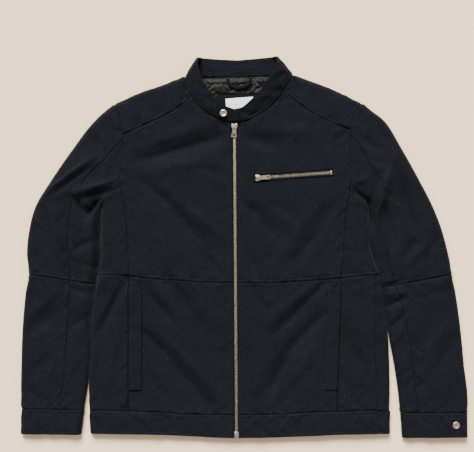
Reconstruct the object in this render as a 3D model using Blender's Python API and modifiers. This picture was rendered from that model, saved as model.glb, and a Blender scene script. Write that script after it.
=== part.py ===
"""A biker jacket laid flat on its back, modelled piece by piece.

X runs across the jacket, towards the wearer's left sleeve, Y runs up to the collar and Z up.
Every cloth piece is a wall that follows one shared skin: a flat underside, soft rolled edges
and a top that carries the large folds. Tables are in millimetres, and the solids in metres.
"""

import math

import bmesh
import bpy
import numpy as np
from mathutils import Vector

MM = 0.001

# Driving dimensions, in millimetres.
CLOTH = 1.6  # wall of one panel, shell and lining together
COLLAR_WALL = 2.6  # doubled band with its stiffener
GAP = 0.3  # between pieces at a seam
ROLL = 9.0  # plan width of a rolled edge
HEM_HEIGHT = 15.0  # how high the front lies at the hem and cuffs
CHEST_RISE = 6.0  # how much higher it lies at the chest
CHEST_FROM, CHEST_TO = -340.0, 150.0  # the rise runs between these places along Y
MID_SHARE = 0.42  # height of the rolled edges' widest line, as a share of the height
SLOT = 1.8  # between a sleeve and the side it lies against
ZIP_TOP = (-18.0, 230.0)
ZIP_FOOT = (-14.0, -358.0)
ZIP_HALF_GAP = 4.8  # from the teeth's middle line to a front edge
TAPE_REACH = 10.0  # how far a zip tape goes under the front
TAPE_DROP = 0.5  # from the panel's inside to the tape
TAPE_WALL = 1.0
CHAIN_WIDTH = 5.6
CHAIN_HEIGHT = 2.4
POCKET_WIDTH = 24.0
WELT_WALL = 1.4
SNAP_RADIUS = 7.0

NAVY = (0.013, 0.016, 0.024)
LINING = (0.070, 0.065, 0.057)
NICKEL = (0.56, 0.51, 0.44)
WHITE = (0.86, 0.86, 0.88)

# Seams and edges in plan, each row an (x, y) point. "right" is the wearer's right (-X).
SHOULDER = {
    "right": [(-244, 269), (-205, 287), (-158, 304), (-111, 322)],
    "left": [(221, 271), (178, 292), (149, 304), (92, 325)],
}
COLLAR_FOLD = {
    "right": [(-111, 322), (-107, 332), (-99, 344), (-87, 357)],
    "left": [(92, 325), (84, 335), (77, 344), (62, 358)],
}
ARMHOLE = {
    "right": [(-244, 269), (-234, 242), (-228, 214), (-229, 186), (-232, 159),
              (-234, 131), (-241, 109), (-252, 93), (-270, 76)],
    "left": [(221, 271), (208, 252), (200, 229), (199, 200), (199, 170),
             (199, 141), (202, 121), (211, 97), (222, 83), (233, 75)],
}
SIDE = {
    "right": [(-270, 76), (-272, 48), (-270, 13), (-270, -12), (-275, -32), (-278, -51),
              (-283, -82), (-287, -122), (-291, -188), (-293, -238), (-292, -307), (-290, -351)],
    "left": [(233, 75), (234, 45), (238, 7), (246, -23), (255, -52),
             (261, -75), (266, -110), (270, -150), (273, -192), (275, -262), (275, -307), (275, -351)],
}
PRINCESS = {
    "right": [(-229, 98), (-223, 62), (-219, 21), (-217, -20), (-216, -54)],
    "left": [(193, 74), (189, 30), (186, -23), (182, -58)],
}
YOKE_SEAM = {
    "right": [(-192, 227), (-164, 240), (-136, 254), (-114, 269), (-99, 284)],
    "left": [(173, 230), (137, 247), (114, 261), (91, 279), (73, 292)],
}
NECK_SIDE = {
    "right": [(-111, 322), (-108, 302), (-99, 284)],
    "left": [(92, 325), (84, 309), (73, 292)],
}
NECK_FRONT = {
    "right": [(-99, 284), (-89, 270), (-74, 255), (-58, 245), (-38, 238)],
    "left": [(73, 292), (62, 275), (45, 260), (29, 249), (7, 238)],
}
WAIST_SIDE = {"right": [(-250, -52)], "left": [(221, -54)]}
WAIST_FRONT = {
    "right": [(-177, -59), (-121, -63), (-74, -66)],
    "left": [(151, -61), (105, -64), (58, -67)],
}
HEM_SEAM = {
    "right": [(-292, -307), (-217, -308), (-145, -312), (-98, -315)],
    "left": [(275, -307), (174, -309), (105, -312), (50, -315)],
}
HEM = {
    "right": [(-290, -351), (-217, -352), (-159, -353), (-51, -358)],
    "left": [(275, -351), (174, -353), (105, -356), (50, -358)],
}
SIDE_SEAM_LEFT = [(248, -53), (246, -146), (247, -216), (250, -262), (251, -307)]
HEM_SIDE_SEAM_LEFT = [(251, -307), (253, -351)]

# Sleeves: each station runs across the sleeve from its outer edge to its inner edge.
# Columns: outer x, outer y, inner y (its x is read off the inner edge), how much of the
# armhole's bow the row keeps, share of the width at which the long seam runs.
SLEEVE_UPPER = {
    "right": [
        (-244, 269, 76, 1.00, 0.340), (-262, 256, 70, 0.80, 0.360),
        (-290, 228, 58, 0.65, 0.390), (-330, 174, 43, 0.45, 0.340),
        (-366, 121, 25, 0.20, 0.390), (-393, 76, 2, 0.08, 0.490), (-405, 30, -22, 0.0, 0.550),
        (-409, -10, -45, 0.0, 0.620), (-406, -51, -70, 0.0, 0.630),
    ],
    "left": [
        (221, 271, 75, 1.00, 0.310), (240, 257, 69, 0.80, 0.345),
        (266, 236, 57, 0.70, 0.410), (299, 182, 42, 0.45, 0.420),
        (329, 128, 22, 0.20, 0.640), (354, 80, 0, 0.08, 0.760), (372, 35, -25, 0.0, 0.800),
        (384, -10, -50, 0.0, 0.820), (392, -51, -76, 0.0, 0.815),
    ],
}
# Columns: outer x, outer y, inner x, inner y, share at which the long seam runs.
SLEEVE_LOWER = {
    "right": [
        (-412, -88, -287, -104, 0.650), (-418, -158, -290, -163, 0.656),
        (-420, -220, -293, -222, 0.636), (-421, -268, -296, -269, 0.633),
        (-420, -305, -301, -306, 0.630), (-421, -329, -304, -330, 0.630),
        (-421, -352, -307, -353, 0.630),
    ],
    "left": [
        (400, -94, 267, -114, 0.754), (409, -160, 273, -168, 0.735),
        (415, -223, 283, -223, 0.733), (421, -270, 290, -270, 0.742),
        (422, -312, 294, -312, 0.727), (422, -335, 296, -336, 0.727),
        (422, -358, 298, -359, 0.727),
    ],
}
# Heights in plan at which the front edges meet the seams.
NECK_AT_ZIP = 232.0
WAIST_AT_ZIP = -67.0
HEM_SEAM_AT_ZIP = -316.0
HEM_AT_ZIP = -359.0
POCKET_ROWS = [-75, -113, -152, -190, -229, -268]  # a welt runs from the first to the last
YOKE_SHARE = {"right": 0.29, "left": 0.26}  # along the armhole, where the yoke seam ends
PRINCESS_SHARE = {"right": 0.72, "left": 0.71}  # and where the princess seam ends

# Large folds. Columns: start x, start y, end x, end y, half width, height (a trough is negative).
FOLDS = [
    (-26, 218, -196, 168, 24, -3.0),
    (-200, 123, -68, -15, 26, -3.5),
    (3, 212, 105, 171, 20, -2.5),
    (-9, 162, 105, 30, 26, -3.0),
    (3, 94, 70, 21, 22, -2.0),
    (-182, -73, -140, -137, 18, -2.0),
    (-126, -80, -49, -192, 22, -3.0),
    (-189, -159, -63, -307, 26, -4.0),
    (-236, -75, -278, -178, 16, -3.0),
    (147, -68, 67, -169, 22, -2.5),
    (137, -136, 58, -267, 28, -4.0),
    (186, -164, 210, -223, 16, -2.0),
    (-294, 159, -367, 106, 14, 4.5),
    (-367, 98, -346, 21, 14, 4.0),
    (-346, 21, -330, -10, 12, 2.5),
    (-322, 99, -258, 116, 13, 4.0),
    (-277, 87, -297, 62, 11, -6.0),
    (-297, 62, -319, 96, 11, -4.0),
    (-340, 120, -300, 140, 14, -3.0),
    (-390, -100, -340, -190, 26, -2.5),
    (205, 121, 240, 89, 11, -3.5),
    (237, 90, 240, 62, 9, -4.0),
    (262, 128, 248, 74, 12, 4.5),
    (290, 110, 282, 30, 20, -3.0),
    (336, 60, 344, -10, 14, 2.5),
    (380, -100, 330, -210, 26, -2.5),
]
# Wide swells of the sleeve heads. Columns: x, y, radius, height.
SWELLS = [
    (-322, 130, 70, 5.0),
    (292, 130, 70, 5.0),
    (-205, 250, 60, 2.0),
    (182, 250, 60, 2.0),
    (-360, 0, 70, 3.0),
    (330, -10, 70, 3.0),
]

# Collar ring, from the front end on the wearer's right, round the back, to the left end.
# Columns: top x, top y, height of its outer face, angle of that face (90 faces up, -90 down).
COLLAR_TOP = {
    "right": [
        (-19, 259, 28, 90), (-34, 264, 29, 90), (-49, 273, 31, 90), (-59, 283, 33, 90),
        (-68, 296, 35, 90), (-77, 312, 36, 90), (-82, 326, 36, 90), (-86, 341, 35, 90),
        (-88, 350, 31, 55), (-88, 355, 25, 25), (-87, 357, 17, 0), (-85, 358, 10, -25),
        (-82, 358, 4, -55), (-76, 357, 0, -90),
    ],
    "left": [
        (-17, 259, 28, 90), (-4, 262, 29, 90), (14, 277, 31, 90), (28, 290, 33, 90),
        (38, 305, 35, 90), (48, 319, 36, 90), (55, 332, 36, 90), (60, 345, 35, 90),
        (62, 352, 31, 55), (63, 357, 25, 25), (62, 359, 17, 0), (60, 360, 10, -25),
        (57, 360, 4, -55), (51, 359, 0, -90),
    ],
}
COLLAR_BACK_TOP = [(-76, 357), (-48, 355), (-22, 353), (8, 355), (51, 359)]
COLLAR_NEAR_FOLD = [7.7, 8.5, 9.3, 10.0]  # rows of COLLAR_TOP, counted from 0 at the front
COLLAR_ROUND_FOLD = [10.9, 11.8, 12.4, 13.0]
COLLAR_START_Y = 234.5
COLLAR_HALF_GAP = 1.3  # from the zip's middle line to a front end of the collar
COLLAR_ROWS = (0.0, 0.3, 0.65, 1.0)  # shares of the band's height
COLLAR_BULGE = 1.5

# Chest pocket window on the wearer's left, its corners in plan, and the zip's line in it.
CHEST_WINDOW = [(18, 136), (166, 148), (171, 133), (18, 121)]
CHEST_ZIP = [(20, 129.5), (167, 140)]
WINDOW_CUT = (8.0, 40.0)  # the cutter's heights: above the back, and past the front

# Collar tab, measured along X from its round end, and as shares of the collar's height.
TAB_LEFT = -56.0
TAB_PLACES = (0.0, 1.2, 4.0, 8.0, 14.0, 22.0, 30.0, 38.0, 47.0)  # the last is its length
TAB_ROUND = 8.0
TAB_MIDDLE = 0.47
TAB_HALF = 0.40
TAB_WALL = 1.8

# Inside the neck, in plan: left top, right top, right foot, left foot.
NECK_LINING = [(-93, 318), (75, 319), (70, 292.6), (-86, 290.3)]
NECK_FACING = [(-64, 290), (52, 292), (48, 226), (-62, 226)]
NECK_LABEL = [(-35, 280), (17, 284), (20, 250), (-32, 246)]
HANGER_LOOP = [(-31, 318), (-27, 307), (-11, 301), (8, 307), (13, 318)]
LOOP_HALF = 3.0

# Zips. Heights are measured from the front's outer face.
CHAIN_LOW = -1.8
CHAIN_HIGH = CHAIN_LOW + CHAIN_HEIGHT
BOX_TOP = -347.0
BOX_LENGTH = 11.0
BOX_HALF = 4.1
BOX_HIGH = 1.4
STOP_HALF = 3.6
STOP_LENGTH = 3.0
STOP_HIGH = 1.0
# A slider is three blocks; Y runs from its foot to its crown, Z up from the front's face.
SLIDER_HALF = 5.7
SLIDER_LENGTH = 10.4
SLIDER_CORNER = 1.6
SLIDER_UP = 2.0  # how far the front slider's crown stands past the top of the zip line
CROWN = ((-SLIDER_HALF, 0, 0.6), (SLIDER_HALF, SLIDER_LENGTH, 2.7))
KEEL = ((-4.2, 0.4, -1.7), (4.2, SLIDER_LENGTH - 0.4, 1.4))
STRAP = ((-1.7, 0.5, 2.0), (1.7, 8.4, 6.4))
EYE_RADIUS = 1.15
BAR_BACK = 2.4  # from the slider's foot to the pull's bar
BAR_HEIGHT = 4.5
# A pull is a bar and a leaf; -Y runs from the bar to its free end.
BAR_RADIUS = 0.65
NECK_HALF = 3.3  # half the leaf's width at the bar, and half the bar's length
NECK_LENGTH = 3.4
LEAF_HALF_WALL = 0.8
LEAF_CORNER = (1.2, 1.6)
FORK_HALF = 2.15  # the slot in which the slider's strap stands
# Tilt lifts the bar end off the teeth; lean turns the pull off the zip's line.
# Columns of a hole: kind, place along the pull, half width, half length.
PULLS = {
    "zip_pull": {
        "length": 18.4, "end_half": 5.4, "tilt": 8.4, "lean": -4.0,
        "holes": [("box", -13.8, 2.6, 1.8)],
    },
    "chest_pull": {
        "length": 20.0, "end_half": 4.4, "tilt": 7.6, "lean": 0.0,
        "holes": [("round", -6.0, 1.1, 1.1), ("box", -15.6, 2.2, 1.5)],
    },
}
TOOL_REACH = 3.0  # how far a hole's cutter stands out of what it cuts

CUFF_SNAP = (399.0, -335.0)
SNAP_STEPS = 20
SIGN = {"right": -1.0, "left": 1.0}
ROLL_ANGLES = (0, 30, 55, 75, 90)


def smooth_step(value):
    value = np.clip(value, 0.0, 1.0)
    return value * value * (3.0 - 2.0 * value)


def spline(points, per_span=16):
    """A dense smooth line through a few points."""
    points = np.array(points, float)
    if len(points) < 3:
        share = np.linspace(0, 1, per_span + 1)[:, None]
        return points[0] * (1 - share) + points[-1] * share
    padded = np.vstack([2 * points[0] - points[1], points, 2 * points[-1] - points[-2]])
    knots = np.concatenate([[0], np.cumsum(np.linalg.norm(np.diff(padded, axis=0), axis=1) ** 0.5)])
    line = []
    for i in range(1, len(padded) - 2):
        t0, t1, t2, t3 = knots[i - 1 : i + 3]
        p0, p1, p2, p3 = padded[i - 1 : i + 3]
        for t in np.linspace(t1, t2, per_span, endpoint=False):
            a1 = p0 * (t1 - t) / (t1 - t0) + p1 * (t - t0) / (t1 - t0)
            a2 = p1 * (t2 - t) / (t2 - t1) + p2 * (t - t1) / (t2 - t1)
            a3 = p2 * (t3 - t) / (t3 - t2) + p3 * (t - t2) / (t3 - t2)
            b1 = a1 * (t2 - t) / (t2 - t0) + a2 * (t - t0) / (t2 - t0)
            b2 = a2 * (t3 - t) / (t3 - t1) + a3 * (t - t1) / (t3 - t1)
            line.append(b1 * (t2 - t) / (t2 - t1) + b2 * (t - t1) / (t2 - t1))
    line.append(points[-1])
    return np.array(line)


def lengths(line):
    return np.concatenate([[0], np.cumsum(np.linalg.norm(np.diff(line, axis=0), axis=1))])


def along(line, shares):
    """Points at shares of a line's length."""
    run = lengths(line)
    places = np.asarray(shares, float) * run[-1]
    return np.stack([np.interp(places, run, line[:, k]) for k in range(line.shape[1])], axis=-1)


def even(line, segments):
    return along(line, np.linspace(0, 1, segments + 1))


def roll_places(width, angles=ROLL_ANGLES):
    """Plan distances from a silhouette at which a rolled edge has turned by each angle."""
    return [width * (1 - math.cos(math.radians(angle))) for angle in angles]


def rolled(line, segments, at_start=False, at_end=False):
    """Knots along a line, close together where it starts or ends on a rolled edge."""
    total = lengths(line)[-1]
    roll = [place / total for place in roll_places(ROLL)]
    start = roll if at_start else [0.0]
    end = [1 - share for share in reversed(roll)] if at_end else [1.0]
    between = np.linspace(start[-1], end[0], segments + 1)[1:-1]
    return along(line, list(start) + list(between) + list(end))


def zip_x(y):
    share = (ZIP_TOP[1] - np.asarray(y, float)) / (ZIP_TOP[1] - ZIP_FOOT[1])
    return ZIP_TOP[0] + share * (ZIP_FOOT[0] - ZIP_TOP[0])


def front_edge(side, y):
    return (float(zip_x(y)) + SIGN[side] * ZIP_HALF_GAP, y)


def sleeve_inner_line(side):
    """The sleeve's inner edge: along the body's side, then off on its own to the cuff."""
    body = spline(SIDE[side])
    upto = SLEEVE_LOWER[side][2][3] if side == "right" else SLEEVE_LOWER[side][0][3]
    beside = body[body[:, 1] > upto].copy()
    beside[:, 0] += SIGN[side] * np.minimum(SLOT, 0.5 + 0.1 * (beside[0, 1] - beside[:, 1]))
    rest = [(row[2], row[3]) for row in SLEEVE_LOWER[side] if row[3] < upto]
    return np.vstack([beside[:-1], spline([beside[-1]] + rest)])


def silhouettes():
    """The lines that bound the body and the sleeves, each with the hand its outside is on."""
    lines = {"body": [], "sleeve": []}
    for side in ("right", "left"):
        outer = [(row[0], row[1]) for row in SLEEVE_UPPER[side]]
        outer += [(row[0], row[1]) for row in SLEEVE_LOWER[side]]
        fold = spline(COLLAR_FOLD[side])[::-1]
        shoulder = spline(SHOULDER[side])[::-1]
        sleeve = spline(outer)
        outer_line = np.vstack([fold[:-1], shoulder[:-1], sleeve])
        hand = SIGN[side]
        lines["body"] += [(outer_line, hand), (spline(SIDE[side]), hand)]
        lines["sleeve"] += [(outer_line, hand), (sleeve_inner_line(side), -hand)]
    return lines


SILHOUETTES = silhouettes()


def edge_field(plan, part):
    """For each plan point: its distance from the nearest silhouette and the way out there."""
    flat = plan.reshape(-1, 2)
    best = np.full(len(flat), 1e9)
    out = np.zeros((len(flat), 2))
    for line, hand in SILHOUETTES[part]:
        start, end = line[:-1], line[1:]
        step = end - start
        size = np.einsum("ij,ij->i", step, step)
        share = np.einsum("pij,ij->pi", flat[:, None] - start[None], step) / size
        foot = start[None] + np.clip(share, 0, 1)[..., None] * step[None]
        away = foot - flat[:, None]
        reach = np.linalg.norm(away, axis=2)
        pick = np.argmin(reach, axis=1)
        rows = np.arange(len(flat))
        distance = reach[rows, pick]
        tangent = np.gradient(line, axis=0)
        tangent /= np.linalg.norm(tangent, axis=1, keepdims=True)
        turned_out = hand * np.stack([-tangent[:, 1], tangent[:, 0]], axis=1)
        place = np.clip(share[rows, pick], 0, 1)[:, None]
        normal = (1 - place) * turned_out[pick] + place * turned_out[pick + 1]
        toward = away[rows, pick] / np.maximum(distance, 1e-6)[:, None]
        way = np.where((distance < 0.6)[:, None], normal, toward)
        closer = distance < best
        best = np.where(closer, distance, best)
        out = np.where(closer[:, None], way, out)
    return best.reshape(plan.shape[:-1]), out.reshape(plan.shape)


def base_height(plan):
    x, y = plan[..., 0], plan[..., 1]
    height = HEM_HEIGHT + CHEST_RISE * smooth_step((y - CHEST_FROM) / (CHEST_TO - CHEST_FROM))
    for cx, cy, radius, rise in SWELLS:
        height = height + rise * np.exp(-((x - cx) ** 2 + (y - cy) ** 2) / radius**2)
    return height


def window_mask(plan):
    """Nothing at the chest zip and the front zip, one away from them: no fold crosses them."""
    x, y = plan[..., 0], plan[..., 1]
    middle = np.mean(CHEST_WINDOW, axis=0)
    far_x = np.maximum(np.abs(x - middle[0]) - 100, 0)
    far_y = np.maximum(np.abs(y - middle[1]) - 42, 0)
    chest = smooth_step(np.hypot(far_x, far_y) / 24)
    zip_line = smooth_step((np.abs(x - zip_x(y)) - 4) / 26)
    return chest * zip_line


def fold_height(plan):
    total = np.zeros(plan.shape[:-1])
    for x0, y0, x1, y1, width, rise in FOLDS:
        start, end = np.array([x0, y0], float), np.array([x1, y1], float)
        step = end - start
        share = np.clip(((plan - start) @ step) / (step @ step), 0, 1)
        reach = np.linalg.norm(plan - (start + share[..., None] * step), axis=-1)
        swell = 0.55 + 0.45 * np.sin(math.pi * share)
        total = total + rise * swell * np.exp(-((reach / width) ** 2))
    return total * window_mask(plan)


def skin(plan, facing, on_edge=None, parted=0.0, part="body"):
    """Points of the outer skin and the ways out of it; facing is 1 for the top, -1 below."""
    plan = np.asarray(plan, float)
    distance, out = edge_field(plan, part)
    share = np.clip(distance / ROLL, 0, 1)
    if on_edge is not None:
        share = np.where(on_edge, 0.0, share)
    lean = 1 - share
    rise = np.sqrt(np.maximum(0, 1 - lean**2))
    base = base_height(plan)
    middle = MID_SHARE * base
    top = middle + (base + fold_height(plan) - middle) * rise + parted * (1 - rise)
    under = middle * (1 - rise) - parted * (1 - rise)
    facing = np.broadcast_to(facing, rise.shape)
    z = np.where(facing > 0, top, under)
    points = np.concatenate([plan, z[..., None]], axis=-1)
    normals = np.concatenate([out * lean[..., None], (facing * rise)[..., None]], axis=-1)
    normals /= np.linalg.norm(normals, axis=-1, keepdims=True)
    return points, normals


def side_normals(points, hand):
    step = np.gradient(points, axis=0)
    step /= np.linalg.norm(step, axis=1, keepdims=True)
    return hand * np.stack([step[:, 1], -step[:, 0]], axis=1)


def border(pieces, hand):
    """Join the pieces of one side. A seam is set back by half the gap, an edge stays."""
    points, shift, edge = None, None, None
    for line, kind in pieces:
        line = np.array(line, float)
        move = side_normals(line, hand) * GAP / 2 if kind == "seam" else np.zeros_like(line)
        flag = np.full(len(line), kind == "edge")
        if points is None:
            points, shift, edge = line, move, flag
        else:
            shift[-1] = move[0] if kind == "seam" else shift[-1]
            edge[-1] = edge[-1] or flag[0]
            points = np.vstack([points, line[1:]])
            shift = np.vstack([shift, move[1:]])
            edge = np.concatenate([edge, flag[1:]])
    return points, shift, edge


def patch(top, bottom, outer, inner, hand=1.0):
    """A plan grid filling four sides. top and bottom run from outer to inner, the others down."""
    sides = [border(top, hand), border(bottom, -hand), border(outer, -hand), border(inner, hand)]
    (t, t_move, t_edge), (b, b_move, b_edge), (o, o_move, o_edge), (i, i_move, i_edge) = sides
    columns, rows = len(t), len(o)
    if len(b) != columns or len(i) != rows:
        raise ValueError("opposite sides of a patch need the same number of knots")
    t, b, o, i = t + t_move, b + b_move, o + o_move, i + i_move
    o[0], t[0] = [t[0] + o_move[0]] * 2
    i[0], t[-1] = [t[-1] + i_move[0]] * 2
    o[-1], b[0] = [b[0] + o_move[-1]] * 2
    i[-1], b[-1] = [b[-1] + i_move[-1]] * 2
    share_t, share_b = lengths(t) / lengths(t)[-1], lengths(b) / lengths(b)[-1]
    share_o, share_i = lengths(o) / lengths(o)[-1], lengths(i) / lengths(i)[-1]
    u = np.tile(share_t, (rows, 1))
    for _ in range(4):
        v = (1 - u) * share_o[:, None] + u * share_i[:, None]
        u = (1 - v) * share_t[None] + v * share_b[None]
    u, v = u[..., None], v[..., None]
    grid = (1 - v) * t[None] + v * b[None] + (1 - u) * o[:, None] + u * i[:, None]
    grid -= (1 - u) * (1 - v) * t[0] + u * (1 - v) * t[-1] + (1 - u) * v * b[0] + u * v * b[-1]
    edge = np.zeros((rows, columns), bool)
    edge[0] |= t_edge
    edge[-1] |= b_edge
    edge[:, 0] |= o_edge
    edge[:, -1] |= i_edge
    return grid, edge


def material(name, colour, roughness, metallic=0.0):
    """A Principled surface, made once for each name."""
    found = bpy.data.materials.get(name)
    if found:
        return found
    made = bpy.data.materials.new(name)
    made.use_nodes = True
    shader = made.node_tree.nodes["Principled BSDF"]
    shader.inputs["Base Color"].default_value = (*colour, 1.0)
    shader.inputs["Roughness"].default_value = roughness
    shader.inputs["Metallic"].default_value = metallic
    made.diffuse_color = (*colour, 1.0)
    return made


def navy_cloth():
    return material("navy cotton twill", NAVY, 0.85)


def lining_cloth():
    return material("taupe lining", LINING, 0.6)


def nickel():
    return material("pale nickel", NICKEL, 0.3, 1.0)


def label_cloth():
    return material("white satin label", WHITE, 0.5)


def collect(name, mesh, surface, collection):
    made = bpy.data.objects.new(name, mesh)
    mesh.materials.append(surface)
    collection.objects.link(made)
    return made


def wall(name, outer, inner, surface, collection, ring=False):
    """A closed solid between two grids of points, open at its ends when it is a ring."""
    rows, columns = outer.shape[:2]
    mesh = bmesh.new()
    layers = []
    for layer in (outer, inner):
        layers.append([[mesh.verts.new(Vector(p) * MM) for p in row] for row in layer])
    spans = columns if ring else columns - 1
    for layer in layers:
        for r in range(rows - 1):
            for c in range(spans):
                n = (c + 1) % columns
                mesh.faces.new((layer[r][c], layer[r][n], layer[r + 1][n], layer[r + 1][c]))
    top, below = layers
    for r in (0, rows - 1):
        for c in range(spans):
            n = (c + 1) % columns
            mesh.faces.new((top[r][c], top[r][n], below[r][n], below[r][c]))
    if not ring:
        for c in (0, columns - 1):
            for r in range(rows - 1):
                mesh.faces.new((top[r][c], top[r + 1][c], below[r + 1][c], below[r][c]))
    bmesh.ops.recalc_face_normals(mesh, faces=mesh.faces)
    data = bpy.data.meshes.new(name)
    mesh.to_mesh(data)
    mesh.free()
    data.shade_smooth()
    data.set_sharp_from_angle(angle=math.radians(40))
    return collect(name, data, surface, collection)


def panel(name, grid, edge, facing, collection, parted=0.0):
    """One cloth piece: the outer skin over a plan grid and the same skin a wall deeper."""
    points, normals = skin(grid, facing, edge, parted)
    wall(name, points, points - CLOTH * normals, navy_cloth(), collection)
    return points, normals


def laid_on(name, points, normals, lift, thick, surface, collection):
    """A piece that lies on a panel: the panel's own points, moved out."""
    base = points + lift * normals
    return wall(name, base + thick * normals, base, surface, collection)


# Knots shared by neighbours.


def arm_shares(side):
    """Shares along the armhole, from the shoulder to the armpit, that its neighbours share."""
    total = lengths(spline(ARMHOLE[side]))[-1]
    roll = [place / total for place in roll_places(ROLL)]
    yoke, princess = YOKE_SHARE[side], PRINCESS_SHARE[side]
    long_seam = SLEEVE_UPPER[side][0][4]
    top = list(roll)
    top += list(np.linspace(roll[-1], yoke, 4)[1:])
    top += [long_seam]
    top += list(np.linspace(long_seam, princess, 5)[1:])
    top += list(np.linspace(princess, 1 - roll[-1], 5)[1:])
    top += [1 - share for share in reversed(roll[:-1])]
    under = list(roll) + [0.5] + [1 - share for share in reversed(roll)]
    return np.array(top), np.array(under)


YOKE_KNOT, LONG_KNOT, PRINCESS_KNOT = 7, 8, 12


def arm_line(side, shares):
    return along(spline(ARMHOLE[side]), shares)


def knot_lines(side):
    """Every seam of one half of the front, as knots shared by the pieces that meet there."""
    shares, under = arm_shares(side)
    arm = arm_line(side, shares)
    body = spline(SIDE[side])
    waist_at = SIDE[side][5 if side == "right" else 4]
    hem_seam_at = HEM_SEAM[side][0]
    down = lengths(body)
    at_waist = down[np.argmin(np.linalg.norm(body - waist_at, axis=1))]
    at_seam = down[np.argmin(np.linalg.norm(body - hem_seam_at, axis=1))]
    side_share = [at_waist / down[-1], at_seam / down[-1]]
    side_up = along(body, np.linspace(0, side_share[0], 6))
    side_low = along(body, np.linspace(side_share[0], side_share[1], 8))
    side_hem = along(body, np.linspace(side_share[1], 1, 3))
    princess_top = arm[PRINCESS_KNOT]
    princess_up = even(spline([princess_top] + PRINCESS[side]), 5)
    waist_in = PRINCESS[side][-1]
    waist_zip = front_edge(side, WAIST_AT_ZIP)
    waist_side_line = spline([side_low[0]] + WAIST_SIDE[side] + [waist_in])
    hem_side_line = spline(HEM_SEAM[side][:2])
    if side == "right":
        waist_side = rolled(waist_side_line, 4, at_start=True)
        seam_side = rolled(hem_side_line, 4, at_start=True)
        hem_side = rolled(spline(HEM[side][:2]), 4, at_start=True)
    else:
        # The side seam lies on the front here: four spans to it, four beyond it.
        waist_side = split_roll(waist_side_line, SIDE_SEAM_LEFT[0])
        seam_side = split_roll(hem_side_line, SIDE_SEAM_LEFT[-1])
        hem_side = split_roll(spline(HEM[side][:2]), HEM_SIDE_SEAM_LEFT[-1])
    rows = [waist_in[1]] + POCKET_ROWS + [HEM_SEAM[side][1][1]]
    low_x = np.interp(rows, [rows[-1], rows[0]], [HEM_SEAM[side][1][0], waist_in[0]])
    princess_low = np.stack([low_x, rows], axis=1)
    neck_zip = front_edge(side, NECK_AT_ZIP)
    seam_zip = front_edge(side, HEM_SEAM_AT_ZIP)
    hem_zip = front_edge(side, HEM_AT_ZIP)
    up = np.linspace(NECK_AT_ZIP, WAIST_AT_ZIP, 11)
    low = np.linspace(WAIST_AT_ZIP, HEM_SEAM_AT_ZIP, 8)
    band = np.linspace(HEM_SEAM_AT_ZIP, HEM_AT_ZIP, 3)
    return {
        "arm": arm,
        "arm_under": arm_line(side, under),
        "side_up": side_up,
        "side_low": side_low,
        "side_hem": side_hem,
        "princess_up": princess_up,
        "princess_low": princess_low,
        "yoke": even(spline([arm[YOKE_KNOT]] + YOKE_SEAM[side]), 5),
        "shoulder": even(spline(SHOULDER[side]), 5),
        "neck_side": rolled(spline(NECK_SIDE[side]), 3, at_start=True),
        "neck_front": with_tape_knot(spline(NECK_FRONT[side] + [neck_zip]), 5),
        "waist_side": waist_side,
        "waist_front": with_pocket_knot(spline([waist_in] + WAIST_FRONT[side] + [waist_zip]), 10),
        "seam_side": seam_side,
        "seam_front": with_pocket_knot(spline(HEM_SEAM[side][1:] + [seam_zip]), 10),
        "hem_side": hem_side,
        "hem_front": with_pocket_knot(spline(HEM[side][1:] + [hem_zip]), 10),
        "zip_up": np.array([front_edge(side, y) for y in up]),
        "zip_low": np.array([front_edge(side, y) for y in low]),
        "zip_hem": np.array([front_edge(side, y) for y in band]),
    }


def split_roll(line, seam):
    """Four spans from a silhouette to a seam on the front, then four more to the line's end."""
    run = lengths(line)
    at = run[np.argmin(np.linalg.norm(line - np.array(seam), axis=1))]
    if at < 1.3 * ROLL:
        near = roll_places(at)
    else:
        near = roll_places(ROLL, (0, 30, 60, 90)) + [at]
    places = near + list(np.linspace(at, run[-1], 5)[1:])
    return along(line, np.array(places) / run[-1])


def with_tape_knot(line, segments):
    """Even spans, the last one as long as the zip tape reaches under the panel."""
    run = lengths(line)[-1]
    last = 1 - TAPE_REACH / run
    return along(line, list(np.linspace(0, last, segments)) + [1.0])


def with_pocket_knot(line, segments):
    """As above, with a first span as wide as a pocket welt."""
    run = lengths(line)[-1]
    first, last = POCKET_WIDTH / run, 1 - TAPE_REACH / run
    return along(line, [0.0] + list(np.linspace(first, last, segments - 1)) + [1.0])


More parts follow.
